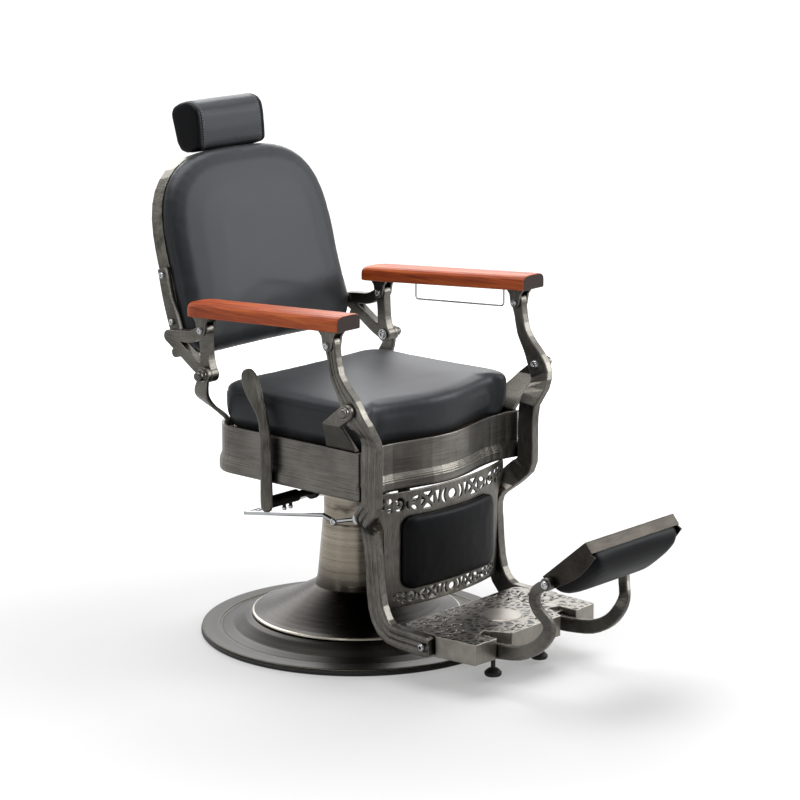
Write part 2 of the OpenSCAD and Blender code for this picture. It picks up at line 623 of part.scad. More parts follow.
// A fork: two ears on a top plate that follows the wood's slope, with the bolt near their tips.
module fork(y, z, mid, top_w) {
  half = lever_t / 2 + 0.5;
  top = wood_z(y) - 0.2;
  color(antique) difference() {
    for (x = [mid - half - ear_t, mid + half]) side_plate(x, x + ear_t) union() {
      polygon([[y - top_w / 2, top + top_w / 2 * rise], [y + top_w / 2, top - top_w / 2 * rise],
        [y + 15, top - 14], [y + 11, z - 5], [y - 11, z - 5], [y - 15, top - 14]]);
      translate([y, z]) circle(r = 12);
    }
    cross_rod(y, z, mid - half - 20, mid + half + 20, arm_bolt_r + 0.02);
  }
  color(antique) side_plate(mid - half - 0.1, mid + half + 0.1) polygon([[y - top_w / 2, top + top_w / 2 * rise],
    [y + top_w / 2, top - top_w / 2 * rise], [y + top_w / 2, top - top_w / 2 * rise - 5], [y - top_w / 2, top + top_w / 2 * rise - 5]]);
}
module front_fork() {
  fork(-front_arm_y, front_arm_z, front_plane, 52);
}
module rear_fork() {
  fork(rear_arm_y, rear_arm_z, rear_plane, 50);
}
module arm_bolts() {
  half = lever_t / 2 + 0.5 + ear_t;
  color(chrome) for (b = [[-front_arm_y, front_arm_z, front_plane], [rear_arm_y, rear_arm_z, rear_plane]]) {
    cross_rod(b[0], b[1], b[2] - half, b[2] + half, arm_bolt_r);
    cross_rod(b[0], b[1], b[2] + half, b[2] + half + 3.5, 7.5);
    cross_rod(b[0], b[1], b[2] - half - 3.5, b[2] - half, 7.5);
  }
}
towel_rear = 68;
towel_front = -192;
module towel_bar() {
  bend = 7;
  rear = on_arm(-12, towel_rear, -towel_drop);
  front = on_arm(-24, towel_front, -towel_drop);
  along = unit(front - rear) * bend;
  up = [0, 0, bend];
  color(chrome) union() {
    for (b = [[rear, along], [front, -along]]) {
      translate(b[0] + up) cylinder(h = towel_drop - 0.2 - bend, r = towel_r);
      translate(b[0] + up) sphere(r = towel_r + 0.1);
      rod_between(b[0] + up, b[0] + (b[1] + up) * 0.29, towel_r);
      translate(b[0] + (b[1] + up) * 0.29) sphere(r = towel_r + 0.1);
      rod_between(b[0] + (b[1] + up) * 0.29, b[0] + b[1], towel_r);
      translate(b[0] + b[1]) sphere(r = towel_r + 0.1);
    }
    rod_between(front - along, rear + along, towel_r);
  }
}

// ---- Legs ----------------------------------------------------------------------------------

B = [-front_pivot_y, front_pivot_z];
D = [-front_arm_y, front_arm_z];
low_plane = panel_w + 0.3 + leg_t / 2;
mid_plane = band_w - 7;
// Centre line of a leg: sideways, backwards, height, width and thickness.
function leg_places() = [
  [front_plane, D[0], D[1] + 17, 20, lever_t], [front_plane, D[0], D[1] + 11, 28, lever_t],
  [front_plane, D[0] - 1, D[1], 31, lever_t], [front_plane, D[0] - 7, D[1] - 28, 25, lever_t],
  [front_plane, D[0] - 16, D[1] - 66, 27, lever_t], [front_plane, B[0] + 23, B[1] + 38, 33, lever_t],
  [front_plane, B[0] + 5, B[1] + 11, 46, lever_t], [front_plane - 2, B[0] - 12, B[1] - 22, 52, lever_t],
  [front_plane - 22, B[0] - 19, B[1] - 50, 49, lever_t + 1], [mid_plane + 2, B[0] - 14, B[1] - 82, 45, leg_t],
  [mid_plane, B[0] - 11, B[1] - 140, 44, leg_t], [mid_plane, B[0] - 11, B[1] - 212, 45, leg_t],
  [mid_plane - 4, B[0] + 4, B[1] - 234, 49, leg_t], [mid_plane - 16, B[0] + 27, B[1] - 258, 49, leg_t],
  [low_plane + 16, B[0] + 39, B[1] - 282, 44, leg_t], [low_plane + 3, B[0] + 39, B[1] - 308, 38, leg_t],
  [low_plane, B[0] + 34, B[1] - 352, 37, leg_t],
  [low_plane, B[0] + 28, B[1] - 430, 40, leg_t], [low_plane + 1, B[0] + 14, B[1] - 480, 46, leg_t],
  [low_plane + 5, B[0] - 20, tread_z - 21, 47, leg_t], [low_plane + 9, B[0] - 80, tread_z - 24, 47, leg_t],
  [low_plane + 11, B[0] - 130, tread_z - 26, 44, leg_t], [low_plane + 11, B[0] - 139, tread_z - 26, 30, leg_t]];
// Cross section of a leg: share of the thickness from the inside, and of the width; the outside is fluted.
leg_section = [[0, -0.46], [0, 0.46], [0.06, 0.5], [0.86, 0.5], [1, 0.42], [1, 0.24], [0.86, 0.18], [0.86, 0.1], [0.98, 0.04],
  [0.98, -0.04], [0.86, -0.1], [0.86, -0.18], [1, -0.24], [1, -0.42], [0.86, -0.5], [0.06, -0.5]];
module leg() {
  p = curve(leg_places(), 2);
  axis = [for (q = p) [q[1], q[2]]];
  color(antique) difference() {
    skin([for (i = [0 : len(p) - 1]) let (h = heading(axis, i)) [for (c = leg_section)
      [p[i][0] + (c[0] - 0.5) * p[i][4], p[i][1] - h[1] * c[1] * p[i][3], p[i][2] + h[0] * c[1] * p[i][3]]]]);
    cross_rod(B[0], B[1], front_plane - 30, front_plane + 30, pivot_r + run_fit);
    cross_rod(D[0], D[1], front_plane - 30, front_plane + 30, arm_bolt_r + eye_play);
    cross_rod(foot_bolt[0], foot_bolt[1], low_plane - 30, low_plane + 40, 5.02);
  }
}
foot_bolt = [B[0] - 122, tread_z - 25];

// The panel between the legs is a shallow cylinder; panel_y gives its front face at the middle.
panel_y = -283;
panel_r = (panel_w * panel_w + panel_bulge * panel_bulge) / (2 * panel_bulge);
panel_top = panel_z + panel_h;
pad_z = panel_z + 38;
module curved_wall(y, t) {
  translate([0, y + panel_r, 0]) difference() {
    cylinder(h = 500, r = panel_r, $fn = 180);
    translate([0, 0, -1]) cylinder(h = 502, r = panel_r - t, $fn = 180);
  }
}
module front_prism(y0, y1) {
  translate([0, y1, 0]) rotate([90, 0, 0]) linear_extrude(y1 - y0) children();
}
module panel_outline() {
  flare = 33;
  polygon([[-panel_w, panel_z + 8], [-panel_w + 8, panel_z], [panel_w - 8, panel_z], [panel_w, panel_z + 8],
    [panel_w, panel_top - 80], [panel_w + 8, panel_top - 60], [panel_w + flare, panel_top - 26],
    [panel_w + flare, panel_top - 4], [panel_w + flare - 5, panel_top], [-panel_w - flare + 5, panel_top],
    [-panel_w - flare, panel_top - 4], [-panel_w - flare, panel_top - 26], [-panel_w - 8, panel_top - 60], [-panel_w, panel_top - 80]]);
}
// One piece of scroll openwork, drawn to the right of its left end: curls, leaves and a ring.
module curl(r, w) {
  difference() {
    circle(r = r);
    translate([w, w * 0.6]) circle(r = r);
  }
}
module leaf(l, w) {
  intersection() {
    translate([l / 2, (l * l / 4 - w * w / 4) / w]) circle(r = (l * l / 4 + w * w / 4) / w);
    translate([l / 2, -(l * l / 4 - w * w / 4) / w]) circle(r = (l * l / 4 + w * w / 4) / w);
  }
}
module scroll_half(h) {
  u = h / 40;
  translate([30 * u, 2 * u]) rotate(28) leaf(30 * u, 10 * u);
  translate([30 * u, -6 * u]) rotate(-32) leaf(22 * u, 9 * u);
  translate([62 * u, 10 * u]) curl(9 * u, 5 * u);
  translate([62 * u, -11 * u]) rotate(180) curl(8 * u, 5 * u);
  translate([82 * u, 0]) circle(r = 4.5 * u);
  translate([94 * u, 4 * u]) rotate(40) leaf(20 * u, 8 * u);
  translate([94 * u, -4 * u]) rotate(-40) leaf(20 * u, 8 * u);
  translate([124 * u, 0]) rotate(90) curl(11 * u, 6 * u);
}
module scroll_band(h) {
  circle(r = h * 0.19);
  for (s = [0, 1]) mirror([s, 0]) translate([h * 0.12, 0]) scroll_half(h);
}
module leg_panel() {
  color(antique) difference() {
    intersection() {
      curved_wall(panel_y, panel_t);
      front_prism(panel_y - 10, panel_y + 100) panel_outline();
    }
    front_prism(panel_y - 20, panel_y + 110) union() {
      translate([0, panel_top - 28]) scroll_band(48);
      translate([0, panel_z + 19]) scroll_band(36);
    }
  }
}
function pad_outline(d) = let (r = 26, w = pad_w - d, h = pad_h / 2 - d, q = max(4, r - d / 2)) concat(
  arc(w - q, -h + q, q, -90, 0, 4), arc(w - q, h - q, q, 0, 90, 4), [for (i = [1 : 6]) [(w - q) * (1 - i / 3.5), h]],
  arc(-w + q, h - q, q, 90, 180, 4), arc(-w + q, -h + q, q, 180, 270, 4), [for (i = [1 : 6]) [(w - q) * (i / 3.5 - 1), -h]]);
function panel_front(x) = panel_y + panel_r - sqrt(panel_r * panel_r - x * x);
// Height over the panel, inset and scale of each ring of the pad.
pad_levels = [[0.8, 1, 0.04], [0.8, 1, 0.28], [0.8, 1, 0.52], [0.8, 1, 0.76], [0.4, 1, 1], [6, 0, 1], [11, 3, 1],
  [14.5, 10, 1], [17, 26, 1], [18.5, 50, 1], [19, 60, 0.5], [19, 60, 0.04]];
module panel_pad() {
  color(leather) skin([for (l = pad_levels) [for (q = reverse(pad_outline(l[1])))
    [q[0] * l[2], panel_front(q[0] * l[2]) - l[0], pad_z + pad_h / 2 + q[1] * l[2]]]]);
}

// ---- Footrest ------------------------------------------------------------------------------

tread_in = low_plane - leg_t / 2 + 8.7;
tread_rear = 308;
function tread_half(d) = [[0, -tread_rear - d], [tread_in - 19 - d, -tread_rear - d], [tread_in - 5 - d, -tread_rear - 14 - d],
  [tread_in - d, B[0] - 80], [tread_in + 1.7 - d, B[0] - 139.4], [tread_in + 9 - d, B[0] - 145], [tread_in + 3 - d, -tread_front + 2 + d], [138 + d, -tread_front - 1 + d],
  [138 + d, -tread_front + 46 + d], [112 - d, -tread_front + 56 + d * 1.5], [84 - d, -tread_front + d], [0, -tread_front + d]];
module tread_2d(d) {
  polygon(concat(tread_half(d), [for (i = [len(tread_half(d)) - 2 : -1 : 1]) [-tread_half(d)[i][0], tread_half(d)[i][1]]]));
}
module tread_pattern() {
  for (s = [0, 1]) mirror([s, 0]) {
    for (y = [-334, -366]) translate([68, y]) scroll_half(30);
    translate([84, -398]) scroll_half(30);
    translate([118, -430]) scroll_half(24);
    translate([142, -470]) rotate(-60) scroll_half(15);
    translate([6, -334]) scroll_half(26);
    translate([8, -500]) scroll_half(22);
  }
}
module footrest() {
  rail_z = tread_z - rail_h;
  color(antique) difference() {
    union() {
      translate([0, 0, tread_z - tread_t]) linear_extrude(tread_t) tread_2d(0);
      translate([0, 0, rail_z]) linear_extrude(rail_h - 1) difference() {
        tread_2d(0);
        tread_2d(7);
      }
      for (s = [-1, 1]) {
        translate([s * 80, -tread_front + 55, rail_z + 8]) cylinder(h = rail_h - 10, r = 11);
        translate([s * 129 - 16, arm_root, rail_z]) cube([32, 22, rail_h - 8]);
      }
      translate([0, 0, tread_z - 0.5]) intersection() {
        translate([0, -425, 0]) scale(1) rotate_extrude() polygon([[0, 0], [46, 0], [46, 1.5], [42, 3], [0, 3.4]]);
        translate([-100, -520, -1]) cube([200, 200, 10]);
      }
    }
    translate([0, 0, tread_z - tread_t - 1]) linear_extrude(tread_t + 5) tread_pattern();
    for (s = [-1, 1]) {
      translate([s * 80, -tread_front + 55, rail_z - 1]) cylinder(h = 30, r = 5.02);
      on_side(s) cross_rod(foot_bolt[0], foot_bolt[1], tread_in - 20, tread_in + 5, 5.02);
    }
  }
}
// Curved arms that carry the calf pad: sideways, backwards, height and width along their centre line.
calf_pivot = [-677, 273];
calf_arm_t = 15;
arm_root = -tread_front + 36.4;
function arm_places() = let (x0 = 127, x1 = calf_w + 1 + calf_arm_t / 2, y0 = -tread_front, z0 = tread_z - rail_h + 15, w = calf_arm_t - 1) [
  [x0, arm_root - 0.7, z0, 34, w + 1], [x0, y0 + 8, z0, 33, w + 1], [x0 - 1, y0 - 57, z0 + 8, 31, w],
  [x0 - 2, y0 - 104, z0 + 32, 29, w], [x0 - 2, y0 - 132, z0 + 66, 28, w], [x0 + 6, y0 - 136, z0 + 92, 26, w],
  [x0 + 20, y0 - 124, z0 + 116, 25, w], [x1 - 6, y0 - 117, z0 + 140, 24, w], [x1 - 1, y0 - 124, z0 + 164, 23, w],
  [x1, calf_pivot[0] + 15, calf_pivot[1] - 8, 22, w], [x1, calf_pivot[0] + 2, calf_pivot[1] - 1, 20, w]];
arm_section = [[-0.5, -0.42], [-0.5, 0.42], [-0.38, 0.5], [0.38, 0.5], [0.5, 0.42], [0.5, -0.42], [0.38, -0.5], [-0.38, -0.5]];
module footrest_arm() {
  p = curve(arm_places(), 3);
  axis = [for (q = p) [q[1], q[2]]];
  x1 = calf_w + 1;
  color(antique) difference() {
    union() {
      skin([for (i = [0 : len(p) - 1]) let (h = heading(axis, i)) [for (c = arm_section)
        [p[i][0] + c[0] * p[i][4], p[i][1] - h[1] * c[1] * p[i][3], p[i][2] + h[0] * c[1] * p[i][3]]]]);
      cross_rod(calf_pivot[0], calf_pivot[1], x1, x1 + calf_arm_t, 14);
    }
    cross_rod(calf_pivot[0], calf_pivot[1], x1 - 9, x1 + calf_arm_t + 5, 5 + run_fit);
  }
}
module foot_bolts() {
  out = low_plane + 11 + leg_t / 2;
  color(chrome) for (s = [-1, 1]) on_side(s) {
    cross_rod(foot_bolt[0], foot_bolt[1], tread_in - 12, out, 5);
    cross_rod(foot_bolt[0], foot_bolt[1], out, out + 4, 8);
  }
}
module levelling_feet() {
  color(rubber) for (s = [-1, 1]) translate([s * 80, -tread_front + 55, 0]) {
    translate([0, 0, foot_gap]) rotate_extrude() polygon([[0, 0], [17, 0], [19, 3], [19, 8], [15, 12], [10, 16], [0, 17]]);
    translate([0, 0, foot_gap + 16]) cylinder(h = tread_z - rail_h + 26 - foot_gap - 16, r = 5);
  }
}
// Places a calf pad piece: local Y from the pivot towards the free edge, local Z away from the leather.
module on_calf() {
  translate([0, calf_pivot[0], calf_pivot[1]]) rotate([-calf_slope, 0, 0]) mirror([0, 1, 0]) children();
}
calf_lip = 27;
calf_back = 21;
module calf_end_2d() {
  polygon(concat([[calf_d - 4, calf_back], [-6, calf_back], [-12, 8], [-12, -4], [-4, -13]],
    [for (t = [0.1 : 0.15 : 1]) [calf_d * t, -13 - 14 * sin(180 * min(1, t * 0.9))]], [[calf_d - 4, calf_back - calf_lip]]));
}
module calf_tray() {
  color(antique) on_calf() difference() {
    union() {
      translate([-calf_w, -8, calf_back - 3]) cube([2 * calf_w, calf_d + 8, 3]);
      translate([-calf_w, calf_d - 4, calf_back - calf_lip]) cube([2 * calf_w, 4, calf_lip]);
      translate([-calf_w, -12, -2]) cube([2 * calf_w, 4, calf_back - 2]);
      for (x = [-calf_w, calf_w - 4]) side_plate(x, x + 4) calf_end_2d();
    }
    cross_rod(0, 0, -calf_w - 5, calf_w + 5, 5.02);
  }
}
calf_rings = [[0, 2], [16, 1], [26, 0], [38, 5], [46, 13], [52, 26], [56, 44], [57, 56]];
module calf_cushion() {
  w = calf_w - 4.5;
  y0 = -7;
  y1 = calf_d - 4.5;
  color(leather) on_calf() skin([for (l = calf_rings) [for (q = arc_box(w - l[1], (y1 - y0) / 2 - l[1], 16))
    [q[0], (y0 + y1) / 2 + q[1], calf_back - 3.3 - l[0] * 1.12]]]);
}
function arc_box(w, h, r0) = let (r = min(r0, h - 1)) concat(arc(w - r, -h + r, r, -90, 0, 4), arc(w - r, h - r, r, 0, 90, 4),
  arc(-w + r, h - r, r, 90, 180, 4), arc(-w + r, -h + r, r, 180, 270, 4));
module calf_bolts() {
  color(chrome) for (s = [-1, 1]) on_side(s) {
    cross_rod(calf_pivot[0], calf_pivot[1], calf_w - 4, calf_w + 1 + calf_arm_t, 5);
    cross_rod(calf_pivot[0], calf_pivot[1], calf_w + 1.2 + calf_arm_t, calf_w + 5 + calf_arm_t, 9);
  }
}

floor_plate();
base_rim();
base_cover();
pedestal_cover();
pump_cylinder();
pump_ram();
lift_sleeve();
swivel_head();
seat_mount();
seat_frame();
seat_board();
seat_cushion();
on_side(1) front_gusset();  // front_gusset_left
on_side(-1) front_gusset();  // front_gusset_right
on_side(1) rear_post();  // rear_post_left
on_side(-1) rear_post();  // rear_post_right
front_pivot_bolts();
rear_pivot_bolts();
lever_bearing();
pedal_bracket();
pump_pedal();
pedal_pin();
recline_lever();
lever_shaft();
back_shell();
back_cushion();
on_side(1) back_bracket();  // back_bracket_left
on_side(-1) back_bracket();  // back_bracket_right
bracket_bolts();
headrest_socket();
headrest_post();
headrest_plate();
headrest_cushion();
on_side(1) armrest();  // armrest_left
on_side(-1) armrest();  // armrest_right
on_side(1) front_fork();  // front_fork_left
on_side(-1) front_fork();  // front_fork_right
on_side(1) rear_fork();  // rear_fork_left
on_side(-1) rear_fork();  // rear_fork_right
on_side(1) arm_bolts();  // arm_bolts_left
on_side(-1) arm_bolts();  // arm_bolts_right
towel_bar();
on_side(1) leg();  // leg_left
on_side(-1) leg();  // leg_right
leg_panel();
panel_pad();
footrest();
on_side(1) footrest_arm();  // footrest_arm_left
on_side(-1) footrest_arm();  // footrest_arm_right
foot_bolts();
levelling_feet();
calf_tray();
calf_cushion();
calf_bolts();
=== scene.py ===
# %% [markdown]
# # A hydraulic barber chair, dressed
# The chair's castings, column and mechanism come ready-made as a fixed model.
# This lesson gives each of them a finish, and makes the soft pieces,
# the screws and the stitching by hand.

# %% Load the fixed model
import math
import bmesh
import bpy
from mathutils import Matrix, Vector
from mathutils.bvhtree import BVHTree


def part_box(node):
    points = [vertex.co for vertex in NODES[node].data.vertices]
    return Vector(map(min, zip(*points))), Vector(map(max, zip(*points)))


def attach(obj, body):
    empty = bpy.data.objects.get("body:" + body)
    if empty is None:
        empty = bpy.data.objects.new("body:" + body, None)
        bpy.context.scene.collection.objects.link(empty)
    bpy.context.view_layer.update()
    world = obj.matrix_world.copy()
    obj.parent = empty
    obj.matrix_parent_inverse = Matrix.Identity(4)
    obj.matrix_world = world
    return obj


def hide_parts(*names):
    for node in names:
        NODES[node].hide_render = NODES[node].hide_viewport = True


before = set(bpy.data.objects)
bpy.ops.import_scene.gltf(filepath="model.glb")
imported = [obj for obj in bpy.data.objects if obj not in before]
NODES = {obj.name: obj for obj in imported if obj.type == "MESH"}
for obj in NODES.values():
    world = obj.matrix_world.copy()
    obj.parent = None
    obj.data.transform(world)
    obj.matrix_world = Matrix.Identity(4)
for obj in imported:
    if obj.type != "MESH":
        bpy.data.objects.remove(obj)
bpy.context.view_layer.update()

# %% [markdown]
# ## The camera
# A long lens stands seven metres off, ahead of the chair and on the sitter's
# right. The long lens keeps the round base and the armrests from looking
# stretched.


# %% Camera
def placed(name, data):
    piece = bpy.data.objects.new(name, data)
    bpy.context.scene.collection.objects.link(piece)
    return piece


RIGHT = Vector((0.65647, -0.75435, 0.00212))
UP = Vector((0.16826, 0.14917, 0.97439))
BACK = Vector((-0.73534, -0.63930, 0.22486))
CAMERA_AT = (-4.8828, -4.3743, 2.0470)
camera_data = bpy.data.cameras.new("camera")
camera_data.lens = 135.0
camera_data.sensor_width = 36.0
camera_data.clip_end = 60.0
camera = placed("camera", camera_data)
turn = Matrix((RIGHT, UP, BACK)).transposed().to_4x4()
camera.matrix_world = Matrix.Translation(CAMERA_AT) @ turn
bpy.context.scene.camera = camera
print("camera at", tuple(round(v, 2) for v in camera.location))

# %% [markdown]
# ## Nodes of a material
# Every finish below is drawn by nodes. One small function adds a node, sets
# its values and links its inputs. An input is given by its name, or by its
# number as i0, i1 and so on where several inputs share a name. Another
# function turns a colour written as on the web into the linear values that a
# shader wants, and over lays one colour on another.


# %% Material helpers
def linear(code):
    channels = [int(code[i:i + 2], 16) / 255 for i in (1, 3, 5)]
    bent = [c / 12.92 if c <= 0.04045 else ((c + 0.055) / 1.055) ** 2.4 for c in channels]
    return (*bent, 1.0)


def add(tree, kind, settings=None, **inputs):
    node = tree.nodes.new(kind)
    for key, value in (settings or {}).items():
        setattr(node, key, value)
    for key, value in inputs.items():
        numbered = key[0] == "i" and key[1:].isdigit()
        socket = node.inputs[int(key[1:]) if numbered else key.replace("_", " ")]
        if isinstance(value, bpy.types.NodeSocket):
            tree.links.new(value, socket)
        else:
            socket.default_value = value
    return node


def new_material(name):
    material = bpy.data.materials.new(name)
    material.use_nodes = True
    tree = material.node_tree
    tree.nodes.clear()
    shader = add(tree, "ShaderNodeBsdfPrincipled")
    add(tree, "ShaderNodeOutputMaterial", i0=shader.outputs[0])
    place = add(tree, "ShaderNodeTexCoord").outputs["Object"]
    return material, tree, shader, place


def ramp(tree, fac, *stops):
    node = add(tree, "ShaderNodeValToRGB", i0=fac)
    bar = node.color_ramp.elements
    while len(bar) < len(stops):
        bar.new(0.5)
    for element, (where, colour) in zip(bar, stops):
        element.position = where
        element.color = linear(colour)
    return node.outputs[0]


def spread(tree, value, low, high):
    return add(tree, "ShaderNodeMapRange", i0=value, i3=low, i4=high).outputs[0]


def over(tree, share, under, upper):
    return add(tree, "ShaderNodeMix", {"data_type": "RGBA"}, i0=share, i6=under, i7=upper).outputs[2]


def bump(tree, shader, height, strength, distance, normal=None):
    node = add(tree, "ShaderNodeBump", Strength=strength, Distance=distance)
    tree.links.new(height, node.inputs["Height"])
    if normal:
        tree.links.new(normal, node.inputs["Normal"])
    tree.links.new(node.outputs[0], shader.inputs["Normal"])


print("helpers ready")

# %% [markdown]
# ## Antique nickel
# The castings are plated, blackened, and brushed back by hand, so the bright
# metal shows on what stands proud and the dark stays in the hollows. A bevel
# node rounds the edges inside the shader only. Where its normal leaves the
# face's own normal, an edge is near, and the colour there is lifted: worn
# plating, and also a painted highlight along the edge. Ambient occlusion finds
# the hollows in the same way, and the colour there is darkened: blackening, and
# also painted shade. A second, wider bevel bends the light round the edges, as a
# cast edge is never quite sharp. Fine brush lines run along each piece, drawn by
# noise that is stretched.
#
# The footrest's tread is pierced all over with small leaf shapes. The largest
# holes are real, and the fine web between them is drawn on the tread's upper
# face only, clear of the raised oval. A Voronoi pattern gives the distance to
# the nearest wall: near a wall the metal is bright, and where a hole would be
# it is dark. With 46 cells to the metre across and 60 along, a cell is about
# 22 mm by 17 mm.


# %% Antique nickel
EDGE_RADIUS = 0.0016
TREAD_Z = 0.117
OVAL_AT, OVAL_REACH = (0.0, -0.425, TREAD_Z), 0.048


def edge_wear_and_painted_light(tree, tone, edge_wear_and_highlight, hollow_black_and_shade, reach):
    soft = add(tree, "ShaderNodeBevel", {"samples": 4}, Radius=EDGE_RADIUS)
    own = add(tree, "ShaderNodeNewGeometry").outputs["Normal"]
    same = add(tree, "ShaderNodeVectorMath", {"operation": "DOT_PRODUCT"}, i0=soft.outputs[0], i1=own)
    # Near an edge the colour is lifted towards the edge colour: worn plating, and also a painted highlight.
    edge_wear_and_highlight_mask = add(tree, "ShaderNodeMapRange", i0=same.outputs["Value"], i1=0.985, i2=0.8, i3=0.0, i4=0.8)
    deep = add(tree, "ShaderNodeAmbientOcclusion", {"samples": 4}, Distance=reach)
    # In the hollows the colour is darkened towards the hollow colour: blackening, and also painted shade.
    hollow_black_and_shade_mask = add(tree, "ShaderNodeMapRange", i0=deep.outputs["AO"], i1=0.75, i2=0.25, i3=0.0, i4=0.75)
    with_edge_highlight = over(tree, edge_wear_and_highlight_mask.outputs[0], tone, linear(edge_wear_and_highlight))
    round_off = add(tree, "ShaderNodeBevel", {"samples": 6}, Radius=EDGE_RADIUS * 2.5)
    return round_off.outputs[0], over(tree, hollow_black_and_shade_mask.outputs[0], with_edge_highlight, linear(hollow_black_and_shade))


def tread_tone(tree, place, tone):
    drift = add(tree, "ShaderNodeTexNoise", Vector=place, Scale=26.0, Detail=1.0)
    shift = add(tree, "ShaderNodeVectorMath", {"operation": "MULTIPLY_ADD"}, i0=drift.outputs["Color"],
                i1=(0.03, 0.03, 0.0), i2=place)
    flat = add(tree, "ShaderNodeMapping", Vector=shift.outputs[0], Scale=(46, 60, 0))
    web = add(tree, "ShaderNodeTexVoronoi", {"feature": "DISTANCE_TO_EDGE"}, Vector=flat.outputs[0],
              Scale=1.0)
    pierced = ramp(tree, web.outputs[0], (0.0, "#8d8982"), (0.13, "#6f6b65"), (0.18, "#2b2926"),
                   (0.28, "#121110"))
    own = add(tree, "ShaderNodeNewGeometry").outputs["Normal"]
    facing = add(tree, "ShaderNodeSeparateXYZ", i0=own)
    spot = add(tree, "ShaderNodeSeparateXYZ", i0=place)
    upward = add(tree, "ShaderNodeMath", {"operation": "GREATER_THAN"}, i0=facing.outputs[2], i1=0.9)
    high = add(tree, "ShaderNodeMath", {"operation": "COMPARE"}, i0=spot.outputs[2], i1=TREAD_Z, i2=0.0006)
    oval_away = add(tree, "ShaderNodeVectorMath", {"operation": "DISTANCE"}, i0=place, i1=OVAL_AT)
    outside = add(tree, "ShaderNodeMath", {"operation": "GREATER_THAN"}, i0=oval_away.outputs["Value"],
                  i1=OVAL_REACH)
    both = add(tree, "ShaderNodeMath", {"operation": "MULTIPLY"}, i0=upward.outputs[0], i1=high.outputs[0])
    where = add(tree, "ShaderNodeMath", {"operation": "MULTIPLY"}, i0=both.outputs[0], i1=outside.outputs[0])
    return over(tree, where.outputs[0], tone, pierced)


# The edge colour is worn metal and also a painted highlight; the hollow colour is blackening and also painted
# shade.
def brushed_metal(name, dark, light, stretch, rough, contrast=0.5, edge_wear_and_highlight="#a8a49a", hollow_black_and_shade="#1d1b18",
                  tread=False):
    material, tree, shader, place = new_material(name)
    lines = add(tree, "ShaderNodeMapping", Vector=place, Scale=stretch)
    strokes = add(tree, "ShaderNodeTexNoise", Vector=lines.outputs[0], Scale=1.0, Detail=4.0, Roughness=0.6)
    clouds = add(tree, "ShaderNodeTexNoise", Vector=place, Scale=14.0, Detail=3.0, Roughness=0.5)
    blend = add(tree, "ShaderNodeMix", {"data_type": "FLOAT"}, i0=contrast, i2=clouds.outputs[0],
                i3=strokes.outputs[0])
    tone = ramp(tree, blend.outputs[0], (0.3, dark), (0.7, light))
    if tread:
        tone = tread_tone(tree, place, tone)
    normal, tone = edge_wear_and_painted_light(tree, tone, edge_wear_and_highlight, hollow_black_and_shade, 0.02)
    tree.links.new(tone, shader.inputs["Base Color"])
    shader.inputs["Metallic"].default_value = 1.0
    tree.links.new(spread(tree, strokes.outputs[0], rough - 0.08, rough + 0.08), shader.inputs["Roughness"])
    bump(tree, shader, strokes.outputs[0], 0.1, 0.0004, normal)
    return material


# Each finish is antique nickel, brushed in its own direction. The stretch is how
# many grains of noise lie in a metre along X, Y and Z, and the brush lines run
# along the axes with the small numbers: 700 gives lines about 1.4 mm wide.
# In each finish below, the edge colour is also a painted highlight and the hollow colour also painted shade.
antique = brushed_metal("antique_nickel_brushed", "#3d3b38", "#85827b", (60, 60, 700), 0.34)
upright = brushed_metal("antique_nickel_upright", "#3b3936", "#8b8881", (600, 600, 40), 0.34, 0.6)
band_metal = brushed_metal("antique_nickel_band", "#45433f", "#8b8882", (12, 12, 900), 0.3, 0.6)
shell_metal = brushed_metal("antique_nickel_shell", "#4a4843", "#86837a", (400, 60, 40), 0.36, 0.85)
# The lever and the calf tray keep more of the black than the castings do.
lever_metal = brushed_metal("antique_nickel_lever", "#2b2926", "#75726b", (300, 300, 30), 0.32, 0.4)
tray_metal = brushed_metal("antique_nickel_tray", "#211f1d", "#4b4741", (30, 500, 500), 0.36, 0.6, "#8f8a80")
# Shoes have polished the footrest, so its nickel is the brightest.
tread_metal = brushed_metal("antique_nickel_tread", "#7d7973", "#a8a39b", (400, 40, 40), 0.36, 0.5, "#d8d2c6",
                            "#2a2825", tread=True)
# Iron blackened in oil, grey only on its edges, where worn metal and a painted highlight show, with no brush
# lines.
dark_casting = brushed_metal("blackened_iron", "#232221", "#3c3a38", (200, 200, 200), 0.45, 0.5, "#6a6862")
print("castings:", antique.name, band_metal.name, shell_metal.name, dark_casting.name)
